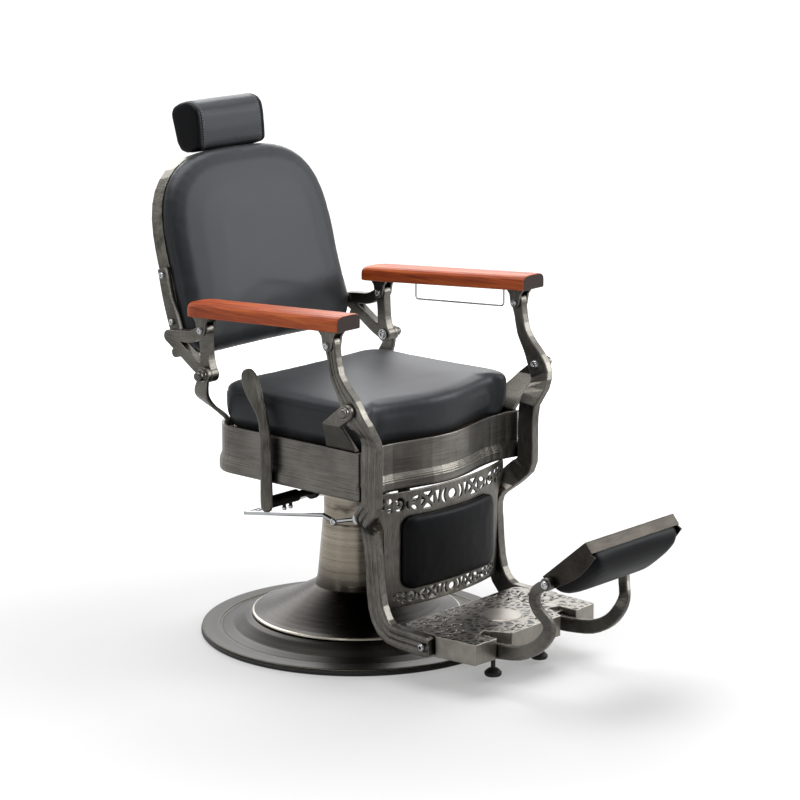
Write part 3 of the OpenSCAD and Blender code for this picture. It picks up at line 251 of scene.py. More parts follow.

# %% [markdown]
# ## Spun metal
# The base cover and the column are spun on a lathe, and brushed while they
# turn, so the brush lines are rings about the axis. The distance from the axis
# and the height give a coordinate that is the same all round, and noise on it
# draws rings: fine ones about 2.4 mm wide, and broad ones about 17 mm wide. The
# flare at the column's foot is painted dark, a painted dark reflection, and a
# narrow bright ring on the flare's rim is a painted highlight. The base cover
# has one narrow black ring at a groove, which is painted shade.


# %% Spun metal
def spun_metal(name, dark, light, rough, painted_light_rings=(), foot=None):
    material, tree, shader, place = new_material(name)
    split = add(tree, "ShaderNodeSeparateXYZ", i0=place)
    flat = add(tree, "ShaderNodeCombineXYZ", i0=split.outputs[0], i1=split.outputs[1])
    from_axis = add(tree, "ShaderNodeVectorMath", {"operation": "LENGTH"}, i0=flat.outputs[0])
    radius = from_axis.outputs["Value"]
    rings = add(tree, "ShaderNodeCombineXYZ", i0=radius, i2=split.outputs[2])
    strokes = add(tree, "ShaderNodeTexNoise", Vector=rings.outputs[0], Scale=420.0, Detail=4.0, Roughness=0.7)
    broad = add(tree, "ShaderNodeTexNoise", Vector=rings.outputs[0], Scale=60.0, Detail=2.0)
    blend = add(tree, "ShaderNodeMix", {"data_type": "FLOAT"}, i0=0.5, i2=broad.outputs[0],
                i3=strokes.outputs[0])
    tone = ramp(tree, blend.outputs[0], (0.32, dark), (0.68, light))
    # The dark colour on the flare at the column's foot is a painted dark reflection.
    if foot:
        bottom, top, colour = foot
        low = add(tree, "ShaderNodeMapRange", {"interpolation_type": "SMOOTHSTEP"}, i0=split.outputs[2],
                  i1=bottom, i2=top, i3=1.0, i4=0.0)
        tone = over(tree, low.outputs[0], tone, linear(colour))
    # Each ring paints light: a bright ring is a painted highlight, a black ring painted shade.
    for where, half, colour in painted_light_rings:
        near = add(tree, "ShaderNodeMath", {"operation": "COMPARE"}, i0=radius, i1=where, i2=half)
        tone = over(tree, near.outputs[0], tone, linear(colour))
    # The bright edge colour is worn metal and also a painted highlight; the dark hollow colour is blackening
    # and also painted shade.
    normal, tone = edge_wear_and_painted_light(tree, tone, "#b3ab9b", "#171513", 0.03)
    tree.links.new(tone, shader.inputs["Base Color"])
    shader.inputs["Metallic"].default_value = 1.0
    tree.links.new(spread(tree, strokes.outputs[0], rough - 0.06, rough + 0.08), shader.inputs["Roughness"])
    bump(tree, shader, strokes.outputs[0], 0.15, 0.0004, normal)
    return material


# FOOT_RIM carries a painted highlight on the flare's rim, and BASE_GROOVE painted shade in the groove; the
# dark foot colour is a painted dark reflection.
FOOT_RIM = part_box("pedestal_cover")[1][0] - 0.002
BASE_GROOVE = 0.3045
column_metal = spun_metal("spun_bronze_nickel", "#7b7367", "#b5ac9e", 0.27, [(FOOT_RIM, 0.0025, "#d6cfc2")],
                          foot=(0.1, 0.19, "#2b2824"))
base_metal = spun_metal("spun_dark_nickel", "#232220", "#403e3a", 0.33, [(BASE_GROOVE, 0.0018, "#0e0d0c")])
print("spun:", column_metal.name, base_metal.name)

# %% [markdown]
# ## Chrome, rubber and plywood
# The screws, the pedal and the towel bar are chromed, and the chrome is duller
# in patches about 11 mm across. The edge of the base and the levelling feet are
# moulded rubber with dust in spots of about 8 mm, and the board under the seat
# is birch plywood with fibres about 1.4 mm wide.

# %% Small finishes
chrome, tree, shader, place = new_material("chrome_plate")
shader.inputs["Base Color"].default_value = linear("#c4c6c8")
shader.inputs["Metallic"].default_value = 1.0
wear = add(tree, "ShaderNodeTexNoise", Vector=place, Scale=90.0, Detail=3.0)
tree.links.new(spread(tree, wear.outputs[0], 0.1, 0.22), shader.inputs["Roughness"])

rubber, tree, shader, place = new_material("moulded_rubber")
dust = add(tree, "ShaderNodeTexNoise", Vector=place, Scale=120.0, Detail=4.0)
tree.links.new(ramp(tree, dust.outputs[0], (0.3, "#131313"), (0.8, "#232323")), shader.inputs["Base Color"])
tree.links.new(spread(tree, dust.outputs[0], 0.4, 0.6), shader.inputs["Roughness"])

plywood, tree, shader, place = new_material("birch_plywood")
fibres = add(tree, "ShaderNodeTexNoise", Vector=place, Scale=700.0, Detail=2.0)
tree.links.new(ramp(tree, fibres.outputs[0], (0.3, "#8a6b45"), (0.7, "#b08c5f")), shader.inputs["Base Color"])
shader.inputs["Roughness"].default_value = 0.7
print("small finishes:", chrome.name, rubber.name, plywood.name)

# %% [markdown]
# ## Lacquered wood
# The armrests are rubberwood stained reddish brown under a clear lacquer. The
# grain runs along each armrest, in streaks five to seven millimetres wide over
# broader bands of about 25 mm, and the cut front end drinks more stain and is
# much darker. The armrests lie along Y, so the noise is stretched along Y.


# %% Lacquered wood
def lacquered_wood(name, dark, mid, light, end):
    material, tree, shader, place = new_material(name)
    grain_map = add(tree, "ShaderNodeMapping", Vector=place, Scale=(150, 7, 190))
    grain = add(tree, "ShaderNodeTexNoise", Vector=grain_map.outputs[0], Scale=1.0, Detail=6.0,
                Roughness=0.62, Distortion=0.4)
    broad_map = add(tree, "ShaderNodeMapping", Vector=place, Scale=(38, 3, 46))
    broad = add(tree, "ShaderNodeTexNoise", Vector=broad_map.outputs[0], Scale=1.0, Detail=2.0,
                Distortion=0.8)
    blend = add(tree, "ShaderNodeMix", {"data_type": "FLOAT"}, i0=0.5, i2=grain.outputs[0],
                i3=broad.outputs[0])
    colour = ramp(tree, blend.outputs[0], (0.3, dark), (0.5, mid), (0.7, light))
    own = add(tree, "ShaderNodeNewGeometry").outputs["Normal"]
    facing = add(tree, "ShaderNodeSeparateXYZ", i0=own)
    ends = add(tree, "ShaderNodeMapRange", i0=facing.outputs[1], i1=-0.75, i2=-0.95, i3=0.0, i4=1.0)
    tree.links.new(over(tree, ends.outputs[0], colour, linear(end)), shader.inputs["Base Color"])
    shader.inputs["Roughness"].default_value = 0.5
    shader.inputs["Specular IOR Level"].default_value = 0.35
    shader.inputs["Coat Weight"].default_value = 0.1
    shader.inputs["Coat Roughness"].default_value = 0.2
    bump(tree, shader, grain.outputs[0], 0.08, 0.0004)
    return material


wood = lacquered_wood("rubberwood_red_stain", "#5f1f08", "#a9481a", "#cf6c2c", "#2e1a12")
print("wood:", wood.name)

# %% [markdown]
# ## Black leatherette
# The cushions wear a smooth coated cloth with a faint pebble about a
# millimetre across. It is almost black, with a soft sheen, so a lamp above
# turns its upper faces a cool grey. The two pads below and the headrest's end
# caps wear a blacker cloth that shines less.


# %% Leatherette
def leatherette(name, dark, light, gloss):
    material, tree, shader, place = new_material(name)
    pebble = add(tree, "ShaderNodeTexVoronoi", {"feature": "DISTANCE_TO_EDGE"}, Vector=place, Scale=700.0)
    clouds = add(tree, "ShaderNodeTexNoise", Vector=place, Scale=9.0, Detail=3.0)
    tree.links.new(ramp(tree, clouds.outputs[0], (0.3, dark), (0.7, light)), shader.inputs["Base Color"])
    tree.links.new(spread(tree, clouds.outputs[0], 0.42, 0.48), shader.inputs["Roughness"])
    shader.inputs["Specular IOR Level"].default_value = gloss
    shader.inputs["Specular Tint"].default_value = linear("#edf2fa")
    bump(tree, shader, pebble.outputs[0], 0.08, 0.0003)
    return material


leather = leatherette("charcoal_leatherette", "#212325", "#292b2e", 0.38)
black_leather = leatherette("black_leatherette", "#070708", "#0c0c0d", 0.14)
print("leather:", leather.name, black_leather.name)

# %% [markdown]
# ## Dressing the castings
# Each ready-made piece takes the finish that its metal and its making call
# for. The shape stays as it is.

# %% Give the nodes their finishes
FINISH = {
    antique: ["back_bracket_left", "back_bracket_right", "footrest_arm_left", "footrest_arm_right"],
    tread_metal: ["footrest"],
    lever_metal: ["recline_lever"],
    tray_metal: ["calf_tray"],
    upright: ["front_gusset_left", "front_gusset_right", "rear_post_left", "rear_post_right", "leg_panel",
              "front_fork_left", "front_fork_right", "rear_fork_left", "rear_fork_right", "leg_left",
              "leg_right"],
    band_metal: ["seat_frame"],
    shell_metal: ["back_shell"],
    column_metal: ["pedestal_cover", "lift_sleeve"],
    base_metal: ["base_cover", "floor_plate"],
    dark_casting: ["swivel_head", "seat_mount", "lever_bearing", "pedal_bracket", "headrest_socket",
                   "headrest_plate", "pump_cylinder", "lever_shaft"],
    chrome: ["front_pivot_bolts", "rear_pivot_bolts", "pump_pedal", "pedal_pin", "bracket_bolts",
             "headrest_post", "arm_bolts_left", "arm_bolts_right", "towel_bar", "foot_bolts", "calf_bolts",
             "pump_ram"],
    rubber: ["base_rim", "levelling_feet"],
    wood: ["armrest_left", "armrest_right"],
    plywood: ["seat_board"],
}
for material, names in FINISH.items():
    for name in names:
        mesh = NODES[name].data
        mesh.materials.clear()
        mesh.materials.append(material)
        for face in mesh.polygons:
            face.material_index = 0
print("dressed", sum(len(names) for names in FINISH.values()), "nodes")

# %% [markdown]
# ## Stuffed pieces
# A cushion is foam in a tight cover. Each one starts from a copy of its solid,
# which is remeshed into even faces a few millimetres across, pushed out or in
# by a fraction of a millimetre, and then swelled by cloth under a little
# pressure. A cap on how far each point may move keeps the cushion between its
# neighbours. The seat lies on a flat board, so its cover is kept from sagging
# below the solid's own bottom.


# %% Stuffing a cushion
CLOTH_FRAMES = 14


def copy_of(node, name):
    mesh = bpy.data.meshes.new(name)
    shape = bmesh.new()
    shape.from_mesh(NODES[node].data)
    bmesh.ops.remove_doubles(shape, verts=shape.verts, dist=0.00002)
    bmesh.ops.recalc_face_normals(shape, faces=shape.faces)
    shape.to_mesh(mesh)
    shape.free()
    return placed(name, mesh)


def apply_modifiers(piece):
    settled = bpy.data.meshes.new_from_object(piece.evaluated_get(bpy.context.evaluated_depsgraph_get()))
    piece.modifiers.clear()
    piece.data = settled


def smoothed(piece, rounds):
    smooth = piece.modifiers.new("even out", "SMOOTH")
    smooth.factor = 0.5
    smooth.iterations = rounds
    apply_modifiers(piece)


def swell(piece, push, cap):
    piece.data.update()
    for vertex, normal in zip(piece.data.vertices, [n.vector.copy() for n in piece.data.vertex_normals]):
        vertex.co += normal * push
    start = [v.co.copy() for v in piece.data.vertices]
    cloth = piece.modifiers.new("cover", "CLOTH")
    cloth.settings.use_pressure = True
    cloth.settings.uniform_pressure_force = 4.0
    cloth.settings.effector_weights.gravity = 0.0
    cloth.settings.tension_stiffness = 40.0
    cloth.settings.compression_stiffness = 40.0
    cloth.settings.bending_stiffness = 20.0
    cloth.settings.quality = 4
    cloth.point_cache.frame_start = 1
    cloth.point_cache.frame_end = CLOTH_FRAMES
    for step in range(1, CLOTH_FRAMES + 1):
        bpy.context.scene.frame_set(step)
    apply_modifiers(piece)
    bpy.context.scene.frame_set(1)
    for vertex, before in zip(piece.data.vertices, start):
        move = vertex.co - before
        if move.length > cap:
            vertex.co = before + move * (cap / move.length)


def stuffed(node, name, body, voxel, soften, push, cap, material):
    piece = copy_of(node, name)
    remesh = piece.modifiers.new("even faces", "REMESH")
    remesh.mode = "VOXEL"
    remesh.voxel_size = voxel
    smoothed(piece, soften)
    swell(piece, push, cap)
    smoothed(piece, 4)
    low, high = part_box(node)
    if body == "seat":
        for vertex in piece.data.vertices:
            vertex.co.z = max(vertex.co.z, low[2])
    finer = piece.modifiers.new("finer", "SUBSURF")
    finer.levels = 1
    finer.render_levels = 1
    apply_modifiers(piece)
    for face in piece.data.polygons:
        face.use_smooth = True
    piece.data.materials.clear()
    piece.data.materials.append(material)
    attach(piece, body)
    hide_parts(node)
    sides = [[round((f([v.co[k] for v in piece.data.vertices]) - c[k]) * 1000, 1) for k in range(3)]
             for f, c in ((min, low), (max, high))]
    print(name, len(piece.data.polygons), "faces, sides off the solid's box by", sides, "mm")
    return piece


seat_pad = stuffed("seat_cushion", "seat_cushion_cover", "seat", 0.0055, 4, -0.0004, 0.002, leather)
back_pad = stuffed("back_cushion", "back_cushion_cover", "back", 0.0055, 3, 0.001, 0.002, leather)
head_pad = stuffed("headrest_cushion", "headrest_cover", "headrest", 0.0035, 3, 0.001, 0.001, leather)
panel_pad = stuffed("panel_pad", "leg_panel_cover", "legs", 0.003, 2, 0.0006, 0.001, black_leather)
calf_pad = stuffed("calf_cushion", "calf_pad_cover", "calf_pad", 0.004, 3, 0.0012, 0.002, black_leather)

# %% [markdown]
# ## Seams
# The top of the seat is sewn to its side border, and the headrest's wrap is
# sewn to an end cap at each end. A sewn seam pulls its cover in, so the points
# near the seam's line are moved inwards along a narrow valley. The seat's seam
# runs along both sides and across the rear, dips a little at the far left and
# right, and fades out towards the front.


# %% Seam valleys
def valley(piece, distance, width, depth):
    piece.data.update()
    normals = [n.vector.copy() for n in piece.data.vertex_normals]
    moved = 0
    for vertex, normal in zip(piece.data.vertices, normals):
        away = distance(vertex.co)
        if away < width:
            vertex.co -= normal * depth * (1 - (away / width) ** 2) ** 2
            moved += 1
    print(piece.name, "seam through", moved, "points")


SEAM_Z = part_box("seat_cushion")[1][2] - 0.021
SEAM_X, SEAM_REAR, SEAM_FADES = 0.2, 0.12, -0.175
NO_SEAM = 1.0


def off_seat_seam(p):
    if abs(p.x) <= SEAM_X and p.y <= SEAM_REAR:
        return NO_SEAM
    fade = max(0.0, SEAM_FADES - p.y) * 0.2
    dip = 0.03 * max(0.0, abs(p.x) - 0.245)
    return abs(p.z - SEAM_Z + dip) + fade


valley(seat_pad, off_seat_seam, 0.004, 0.0022)
head_low, head_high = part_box("headrest_cushion")
HEAD_SEAM = head_high[0] - 0.0135
valley(head_pad, lambda p: abs(abs(p.x) - HEAD_SEAM), 0.0035, 0.0016)
head_pad.data.materials.append(black_leather)
for face in head_pad.data.polygons:
    face.material_index = 1 if abs(face.center.x) > HEAD_SEAM else 0

# %% [markdown]
# ## Topstitching on the headrest
# Two rows of stitches hold the seam allowance flat beside each end cap. A
# stitch is a thread a millimetre thick that lies flat for three and a half, so
# each one is a small stretched ball, laid on the cover where a ray from the
# middle comes out.


# %% Thread
def thread_finish(name, colour):
    material, tree, shader, place = new_material(name)
    twist = add(tree, "ShaderNodeTexWave", Vector=place, Scale=900.0)
    tree.links.new(ramp(tree, twist.outputs[1], (0.0, colour), (1.0, "#8d9093")), shader.inputs["Base Color"])
    shader.inputs["Roughness"].default_value = 0.7
    return material


thread = thread_finish("polyester_thread", "#6c6f72")


STITCH_RADIUS, STITCH_STRETCH, STITCH_STEP = 0.0005, 3.6, 0.0052
RAYS = 180


def stitch_rows(piece, name, body, middle, rows):
    points = [v.co for v in piece.data.vertices]
    cover = BVHTree.FromPolygons(points, [f.vertices for f in piece.data.polygons])
    mesh = bpy.data.meshes.new(name)
    shape = bmesh.new()
    made = 0
    for x in rows:
        centre = Vector((x, middle[1], middle[2]))
        ring = []
        for k in range(RAYS):
            turned_by = k * math.pi / (RAYS // 2)
            hit = cover.ray_cast(centre, Vector((0, math.cos(turned_by), math.sin(turned_by))))
            if hit[0]:
                ring.append(hit[0])
        walked = 0.0
        for a, b in zip(ring, ring[1:] + ring[:1]):
            walked += (b - a).length
            if walked < STITCH_STEP:
                continue
            walked = 0.0
            along = (b - a).normalized()
            place = Matrix.Translation(a) @ along.to_track_quat("Y", "Z").to_matrix().to_4x4()
            bmesh.ops.create_uvsphere(shape, u_segments=6, v_segments=5, radius=STITCH_RADIUS,
                                      matrix=place @ Matrix.Diagonal((1, STITCH_STRETCH, 1, 1)))
            made += 1
    shape.to_mesh(mesh)
    shape.free()
    for face in mesh.polygons:
        face.use_smooth = True
    stitches = placed(name, mesh)
    mesh.materials.append(thread)
    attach(stitches, body)
    print(name, made, "stitches")


head_middle = [(a + b) / 2 for a, b in zip(head_low, head_high)]
stitch_rows(head_pad, "headrest_topstitch", "headrest", head_middle,
            [s * (HEAD_SEAM - d) for s in (-1, 1) for d in (0.0045, 0.0085)])

# %% [markdown]
# ## Openwork panel
# The plate between the legs is a casting with a strip of pierced scrollwork
# above and below its pad. A flat curve can hold an outline and many holes, and
# fills only what lies between them, so the pattern is drawn flat first. Each
# hole is a smooth closed spline, and the pattern is mirrored about the middle.
# The plate is then cut into narrow upright strips and bent round a cylinder.

# %% Shapes of the holes, in millimetres
MM = 0.001
PANEL_TOP, PANEL_LOW = 0.396, 0.138
PANEL_FRONT, PANEL_RADIUS, PANEL_THICK = -0.283, 0.6403, 0.005


def oval(u, v, long, short, lean=0.0):
    c, d = math.cos(math.radians(lean)), math.sin(math.radians(lean))
    ring = [(math.cos(k * math.pi / 4), math.sin(k * math.pi / 4)) for k in range(8)]
    return [(u + long * a * c - short * b * d, v + long * a * d + short * b * c) for a, b in ring]


def cornered(*corners):
    ring = []
    for before, corner, after in zip(corners[-1:] + corners[:-1], corners, corners[1:] + corners[:1]):
        ring += [tuple(c + (o - c) * 0.17 for c, o in zip(corner, before)), corner,
                 tuple(c + (o - c) * 0.17 for c, o in zip(corner, after))]
    return ring


def swirl(u, v, outer, inner, start, stop):
    turns = [start + (stop - start) * k / 5 for k in range(6)]
    rim = [(outer, t) for t in turns] + [(inner, t) for t in reversed(turns)]
    return [(u + r * math.cos(math.radians(t)), v + r * math.sin(math.radians(t))) for r, t in rim]


HALF_SCROLL = [
    [(19, 17), (27, 16), (34, 8), (36, 0), (34, -8), (27, -16), (19, -17), (24, -9), (26, 0), (24, 9)],
    cornered((39, 16), (55, 16), (45, -15)),
    cornered((58, 12), (58, -13), (72, 0)),
    cornered((64, 18), (90, 18), (77, 5)),
    cornered((64, -18), (92, -18), (78, -5)),
    cornered((97, 13), (97, -12), (84, 0)),
    oval(113, 8, 13, 5.5, -20),
    oval(115, -10, 10, 4.5, 28),
    oval(133, -3, 6, 10, -15),
    swirl(154, 1, 17, 8, 40, 320),
    oval(158, 1, 4.5, 4.5),
    oval(179, 11, 8, 6.5, 25),
    oval(179, -9, 7.5, 6.5, -25),
    oval(196, 14, 6.5, 5.5),
    oval(195, -1, 5, 5),
    oval(210, 7, 5, 8, 10),
]


def strip_of_holes(middle, across, upright, furthest):
    holes = [oval(0, 0, 14 * across, 11.5 * upright)]
    for hole in HALF_SCROLL:
        if max(u for u, v in hole) * across < furthest:
            holes += [[(side * u * across, v * upright) for u, v in hole] for side in (-1, 1)]
    return [[(u * MM, middle + v * MM) for u, v in hole] for hole in holes]


RIGHT_EDGE = [(185.7, 138), (193.7, 146), (193.7, 316), (201.7, 336), (226.7, 370), (226.7, 392),
              (221.7, 396)]
outline = [(x * MM, z * MM) for x, z in RIGHT_EDGE] + [(-x * MM, z * MM) for x, z in reversed(RIGHT_EDGE)]
holes = (strip_of_holes(PANEL_TOP - 0.028, across=1.0, upright=1.0, furthest=216)
         + strip_of_holes(PANEL_LOW + 0.0195, across=0.8, upright=0.74, furthest=178))
print(len(holes), "holes in the panel")


# %% Cut and bend the panel
def pierced_plate(name, outline, holes, thick, round_edge):
    drawing = bpy.data.curves.new(name + "_drawing", "CURVE")
    drawing.dimensions = "2D"
    drawing.fill_mode = "BOTH"
    drawing.extrude = thick / 2 - round_edge
    drawing.bevel_depth = round_edge
    drawing.bevel_resolution = 1
    drawing.offset = -round_edge
    for ring in [outline] + holes:
        spline = drawing.splines.new("POLY" if ring is outline else "NURBS")
        spline.points.add(len(ring) - 1)
        for point, (x, y) in zip(spline.points, ring):
            point.co = (x, y, 0, 1)
        spline.use_cyclic_u = True
        if ring is not outline:
            spline.order_u = 3
            spline.resolution_u = 3
    sketch = placed(name + "_sketch", drawing)
    flat = bpy.data.meshes.new_from_object(sketch.evaluated_get(bpy.context.evaluated_depsgraph_get()))
    bpy.data.objects.remove(sketch)
    return flat


STRIP, HALF_STRIPS, ROUND_EDGE = 0.006, 37, 0.0006
flat = pierced_plate("leg_panel_openwork", outline, holes, PANEL_THICK, ROUND_EDGE)
shape = bmesh.new()
shape.from_mesh(flat)
bmesh.ops.remove_doubles(shape, verts=shape.verts, dist=0.00002)
for k in range(-HALF_STRIPS, HALF_STRIPS + 1):
    bmesh.ops.bisect_plane(shape, geom=shape.verts[:] + shape.edges[:] + shape.faces[:], dist=0.000001,
                           plane_co=(k * STRIP, 0, 0), plane_no=(1, 0, 0))
for vertex in shape.verts:
    x, y, z = vertex.co
    bend = PANEL_FRONT + PANEL_RADIUS - math.sqrt(PANEL_RADIUS ** 2 - x ** 2)
    vertex.co = (x, bend + PANEL_THICK / 2 - z, y)
bmesh.ops.recalc_face_normals(shape, faces=shape.faces)
print("open edges:", sum(e.is_boundary for e in shape.edges))
print("volume", round(shape.calc_volume() * 1e6, 1), "cm3")
panel_mesh = bpy.data.meshes.new("leg_panel_openwork")
shape.to_mesh(panel_mesh)
shape.free()
panel_mesh.materials.clear()
panel_mesh.materials.append(upright)
openwork = placed("leg_panel_openwork", panel_mesh)
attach(openwork, "legs")
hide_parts("leg_panel")

# %% [markdown]
# ## Screws and acorn nuts
# Socket-head screws with a low round head hold the forks, brackets, footrest
# and calf pad, and a ball-shaped nut closes each pivot on the outside. Both
# are turned parts, so each is a profile spun about its axis. The hexagonal
# socket is bridged to the round head and pushed in. Each bolt's own mesh says
# how far out its ends are, and a head is let into the end by a fraction of a
# millimetre so that no gap shows.


# %% Turned parts
def spun(shape, profile, steps=28):
    start = [shape.verts.new((r, 0, z)) for r, z in profile]
    edges = [shape.edges.new(pair) for pair in zip(start, start[1:])]
    bmesh.ops.spin(shape, geom=start + edges, cent=(0, 0, 0), axis=(0, 0, 1), angle=math.tau, steps=steps,
                   use_merge=True)


def screw_head(shape, radius, height):
    spun(shape, [(radius, 0), (radius, height * 0.35), (radius * 0.93, height * 0.7),
                 (radius * 0.74, height * 0.95), (radius * 0.6, height)])
    top = [e for e in shape.edges if e.is_boundary and min(v.co.z for v in e.verts) > height * 0.99]
    socket = bmesh.ops.create_circle(shape, segments=6, radius=radius * 0.5,
                                     matrix=Matrix.Translation((0, 0, height)))
    rim = list({e for v in socket["verts"] for e in v.link_edges})
    bmesh.ops.bridge_loops(shape, edges=top + rim)
    wall = bmesh.ops.extrude_edge_only(shape, edges=rim)
    down = [v for v in wall["geom"] if isinstance(v, bmesh.types.BMVert)]
    bmesh.ops.translate(shape, verts=down, vec=(0, 0, -height * 0.55))
    bmesh.ops.contextual_create(shape, geom=[e for e in wall["geom"] if isinstance(e, bmesh.types.BMEdge)])


def ball_nut(shape, radius, height):
    spun(shape, [(radius * 1.12, 0), (radius * 1.12, height * 0.12), (radius * 0.86, height * 0.2),
                 (radius, height * 0.42), (radius * 0.97, height * 0.62), (radius * 0.8, height * 0.83),
                 (radius * 0.45, height * 0.97), (0.0002, height)])


def turned(name, body, material, places, make, radius, height):
    mesh = bpy.data.meshes.new(name)
    whole = bmesh.new()
    for spot, way in places:
        shape = bmesh.new()
        make(shape, radius, height)
        bmesh.ops.remove_doubles(shape, verts=shape.verts, dist=0.00005)
        bmesh.ops.recalc_face_normals(shape, faces=shape.faces)
        shape.transform(Matrix.Translation(spot) @ Vector(way).to_track_quat("Z", "Y").to_matrix().to_4x4())
        part = bpy.data.meshes.new("part")
        shape.to_mesh(part)
        shape.free()
        whole.from_mesh(part)
        bpy.data.meshes.remove(part)
    whole.to_mesh(mesh)
    whole.free()
    for face in mesh.polygons:
        face.use_smooth = len(face.vertices) < 5
    mesh.materials.append(material)
    piece = placed(name, mesh)
    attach(piece, body)
    print(name, len(places), "pieces")


# %% Screws and nuts
PIVOT_A, PIVOT_B = (0.169, 0.618), (-0.270, 0.606)
BOLT_C, BOLT_D = (0.180, 0.716), (-0.212, 0.740)
UPPER, LOWER = (0.3291, 0.8167), (0.2999, 0.7148)
FOOT_BOLT, CALF_PIVOT, PEDAL_PIN = (-0.392, 0.092), (-0.677, 0.273), (-0.037, 0.282)
PEDAL_X, SET_SCREWS_X = 0.1187, (-0.234, -0.214)
SUNK, NUT_SUNK = 0.0003, 0.0005


def both_ways(x, spot, facing):
    return [((side * x, *spot), (side * facing, 0, 0)) for side in (-1, 1)]


def reach(node, inner=False):
    xs = [abs(v.co.x) for v in NODES[node].data.vertices]
    return min(xs) if inner else max(xs)


turned("rear_acorn_nuts", "seat", antique,
       both_ways(reach("rear_pivot_bolts") - NUT_SUNK, PIVOT_A, 1), ball_nut, 0.0115, 0.019)
turned("front_acorn_nuts", "seat", antique,
       both_ways(reach("front_pivot_bolts") - NUT_SUNK, PIVOT_B, 1), ball_nut, 0.011, 0.0115)
turned("rear_pivot_screws", "seat", chrome,
       both_ways(reach("rear_pivot_bolts", True) + SUNK, PIVOT_A, -1), screw_head, 0.0095, 0.004)
turned("front_pivot_screws", "seat", chrome,
       both_ways(reach("front_pivot_bolts", True) + SUNK, PIVOT_B, -1), screw_head, 0.009, 0.004)
for side, body in ((-1, "arm_right"), (1, "arm_left")):
    bolts = NODES["arm_bolts_left" if side > 0 else "arm_bolts_right"].data.vertices
    places = []
    for spot in (BOLT_C, BOLT_D):
        xs = [abs(v.co.x) for v in bolts if abs(v.co.y - spot[0]) < 0.02]
        places.append(((side * (max(xs) - SUNK), *spot), (side, 0, 0)))
        places.append(((side * (min(xs) + SUNK), *spot), (-side, 0, 0)))
    turned(body + "_fork_screws", body, chrome, places, screw_head, 0.0068, 0.0032)
bracket_x = reach("bracket_bolts") - SUNK
turned("bracket_screws", "back", chrome,
       both_ways(bracket_x, UPPER, 1) + both_ways(bracket_x, LOWER, 1), screw_head, 0.0064, 0.0032)
turned("footrest_screws", "legs", chrome,
       both_ways(reach("foot_bolts") - SUNK, FOOT_BOLT, 1), screw_head, 0.0074, 0.0036)
turned("calf_pad_screws", "calf_pad", chrome,
       both_ways(reach("calf_bolts") - SUNK, CALF_PIVOT, 1), screw_head, 0.0082, 0.004)
turned("lever_set_screws", "lever", chrome,
       [((x, 0.004, 0.3318), (0, 0, -1)) for x in SET_SCREWS_X], screw_head, 0.0052, 0.006)
turned("pedal_eyes", "pedal", chrome, both_ways(PEDAL_X, PEDAL_PIN, 1), screw_head, 0.0085, 0.004)

# %% [markdown]
# ## Floor and lamps
# The chair stands on a plain pale floor that glows a little, and more with
# distance, so that it runs into the white backdrop with no line between them.
# In metal and leather the floor and the near side of the backdrop are mirrored
# much darker, or every surface would turn milky.
#
# Two broad lamps, one overhead and a little behind the chair and one farther
# back, light the top of every cushion. A third stands ahead of the chair on the
# sitter's left, and the back and the headrest mirror it. A narrow one ahead, on
# the sitter's right, draws the bright line down the column, and a weak one on
# the same side keeps the castings there from going black.

# %% Floor
NEAR, FAR = 0.7, 2.4
MIRRORED_SHARE = 0.3
floor_mesh = bpy.data.meshes.new("floor")
shape = bmesh.new()
bmesh.ops.create_grid(shape, x_segments=1, y_segments=1, size=30)
shape.to_mesh(floor_mesh)
shape.free()
floor = placed("floor", floor_mesh)
floor_paint, tree, shader, place = new_material("pale_floor")
shader.inputs["Base Color"].default_value = linear("#c9c9c9")
shader.inputs["Roughness"].default_value = 0.9
shader.inputs["Specular IOR Level"].default_value = 0.0
rays = add(tree, "ShaderNodeLightPath")
mirrored = add(tree, "ShaderNodeMath", {"operation": "MAXIMUM"}, i0=rays.outputs["Is Glossy Ray"],
               i1=rays.outputs["Is Transmission Ray"])
weak = add(tree, "ShaderNodeMath", {"operation": "MULTIPLY"}, i0=mirrored.outputs[0], i1=MIRRORED_SHARE)
seen = add(tree, "ShaderNodeMath", {"operation": "MAXIMUM"}, i0=rays.outputs["Is Camera Ray"],
           i1=weak.outputs[0])
away = add(tree, "ShaderNodeVectorMath", {"operation": "LENGTH"}, i0=place)
far = add(tree, "ShaderNodeMapRange", {"interpolation_type": "SMOOTHSTEP"}, i0=away.outputs["Value"],
          i1=NEAR, i2=FAR, i3=0.3, i4=1.0)
share = add(tree, "ShaderNodeMath", {"operation": "MULTIPLY"}, i0=seen.outputs[0], i1=far.outputs[0])
glow = add(tree, "ShaderNodeEmission", Color=(1, 1, 1, 1), Strength=share.outputs[0])
both = add(tree, "ShaderNodeAddShader", i0=shader.outputs[0], i1=glow.outputs[0])
output = [n for n in tree.nodes if n.type == "OUTPUT_MATERIAL"][0]
tree.links.new(both.outputs[0], output.inputs[0])
floor_mesh.materials.append(floor_paint)
print("floor laid")


# %% Lamps and world
def lamp(name, place, aim, size, power):
    data = bpy.data.lights.new(name, "AREA")
    data.shape = "RECTANGLE"
    data.size, data.size_y = size
    data.energy = power
    piece = placed(name, data)
    piece.location = place
    piece.rotation_euler = (Vector(aim) - Vector(place)).to_track_quat("-Z", "Y").to_euler()


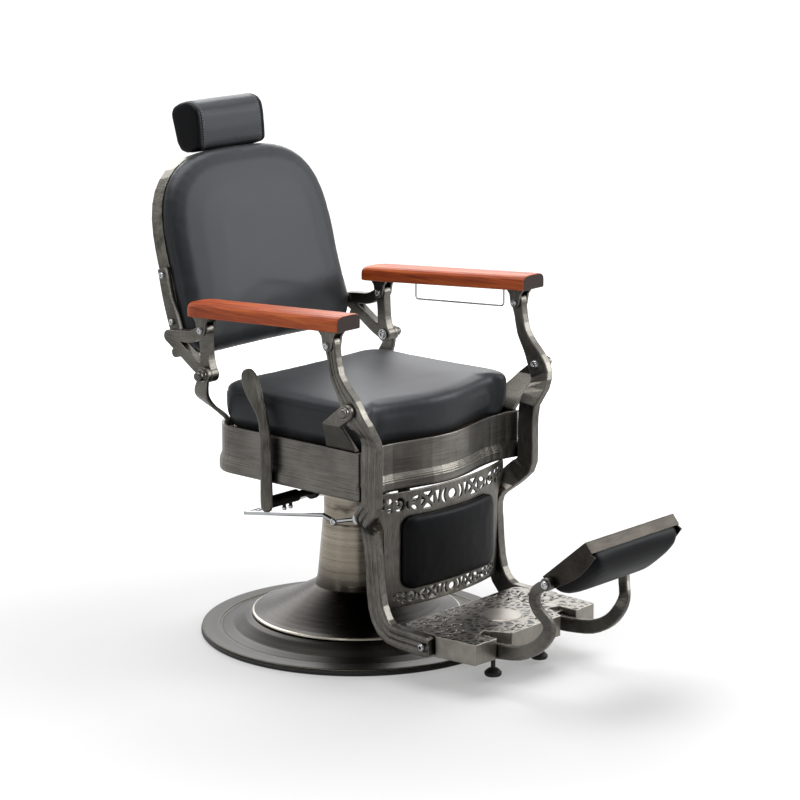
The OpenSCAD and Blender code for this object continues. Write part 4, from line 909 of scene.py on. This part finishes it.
lamp("overhead", (0.1, 0.3, 3.1), (0, 0, 0.4), (2.4, 2.0), 70)
lamp("behind", (2.0, 2.3, 2.3), (0, 0, 0.5), (3.6, 1.8), 70)
lamp("side_left", (-3.2, 0.9, 1.3), (0, 0, 0.6), (0.6, 2.2), 9)
lamp("front", (-3.5, -1.7, 1.7), (0, 0, 0.6), (0.45, 1.6), 13)
lamp("side_right", (2.8, -2.6, 2.1), (0, 0, 0.8), (2.0, 2.0), 78)
# The mirrored backdrop is dark towards the camera's side and white behind the
# chair. AWAY is the level direction from the camera to the chair.
AWAY = (0.755, 0.656, 0.0)
world = bpy.data.worlds.new("studio")
bpy.context.scene.world = world
world.use_nodes = True
tree = world.node_tree
tree.nodes.clear()
rays = add(tree, "ShaderNodeLightPath")
way = add(tree, "ShaderNodeTexCoord").outputs["Generated"]
behind = add(tree, "ShaderNodeVectorMath", {"operation": "DOT_PRODUCT"}, i0=way, i1=AWAY)
backdrop = add(tree, "ShaderNodeMapRange", i0=behind.outputs["Value"], i1=-0.45, i2=0.15, i3=0.16, i4=1.0)
mirrored = add(tree, "ShaderNodeMath", {"operation": "MAXIMUM"}, i0=rays.outputs["Is Glossy Ray"],
               i1=rays.outputs["Is Transmission Ray"])
lit = add(tree, "ShaderNodeMath", {"operation": "MULTIPLY"}, i0=mirrored.outputs[0], i1=backdrop.outputs[0])
shown = add(tree, "ShaderNodeMath", {"operation": "MAXIMUM"}, i0=rays.outputs["Is Camera Ray"],
            i1=lit.outputs[0])
dark_share = add(tree, "ShaderNodeMath", {"operation": "SUBTRACT"}, i0=1.0, i1=mirrored.outputs[0])
dim = add(tree, "ShaderNodeBackground", Color=linear("#d8d8d8"), Strength=0.36)
unlit = add(tree, "ShaderNodeBackground", Color=(0, 0, 0, 1), Strength=0.0)
white = add(tree, "ShaderNodeBackground", Color=(1, 1, 1, 1), Strength=1.0)
plain = add(tree, "ShaderNodeMixShader", i0=dark_share.outputs[0], i1=unlit.outputs[0], i2=dim.outputs[0])
mix = add(tree, "ShaderNodeMixShader", i0=shown.outputs[0], i1=plain.outputs[0], i2=white.outputs[0])
add(tree, "ShaderNodeOutputWorld", i0=mix.outputs[0])
bpy.context.scene.view_settings.view_transform = "Standard"
print("lamps set")
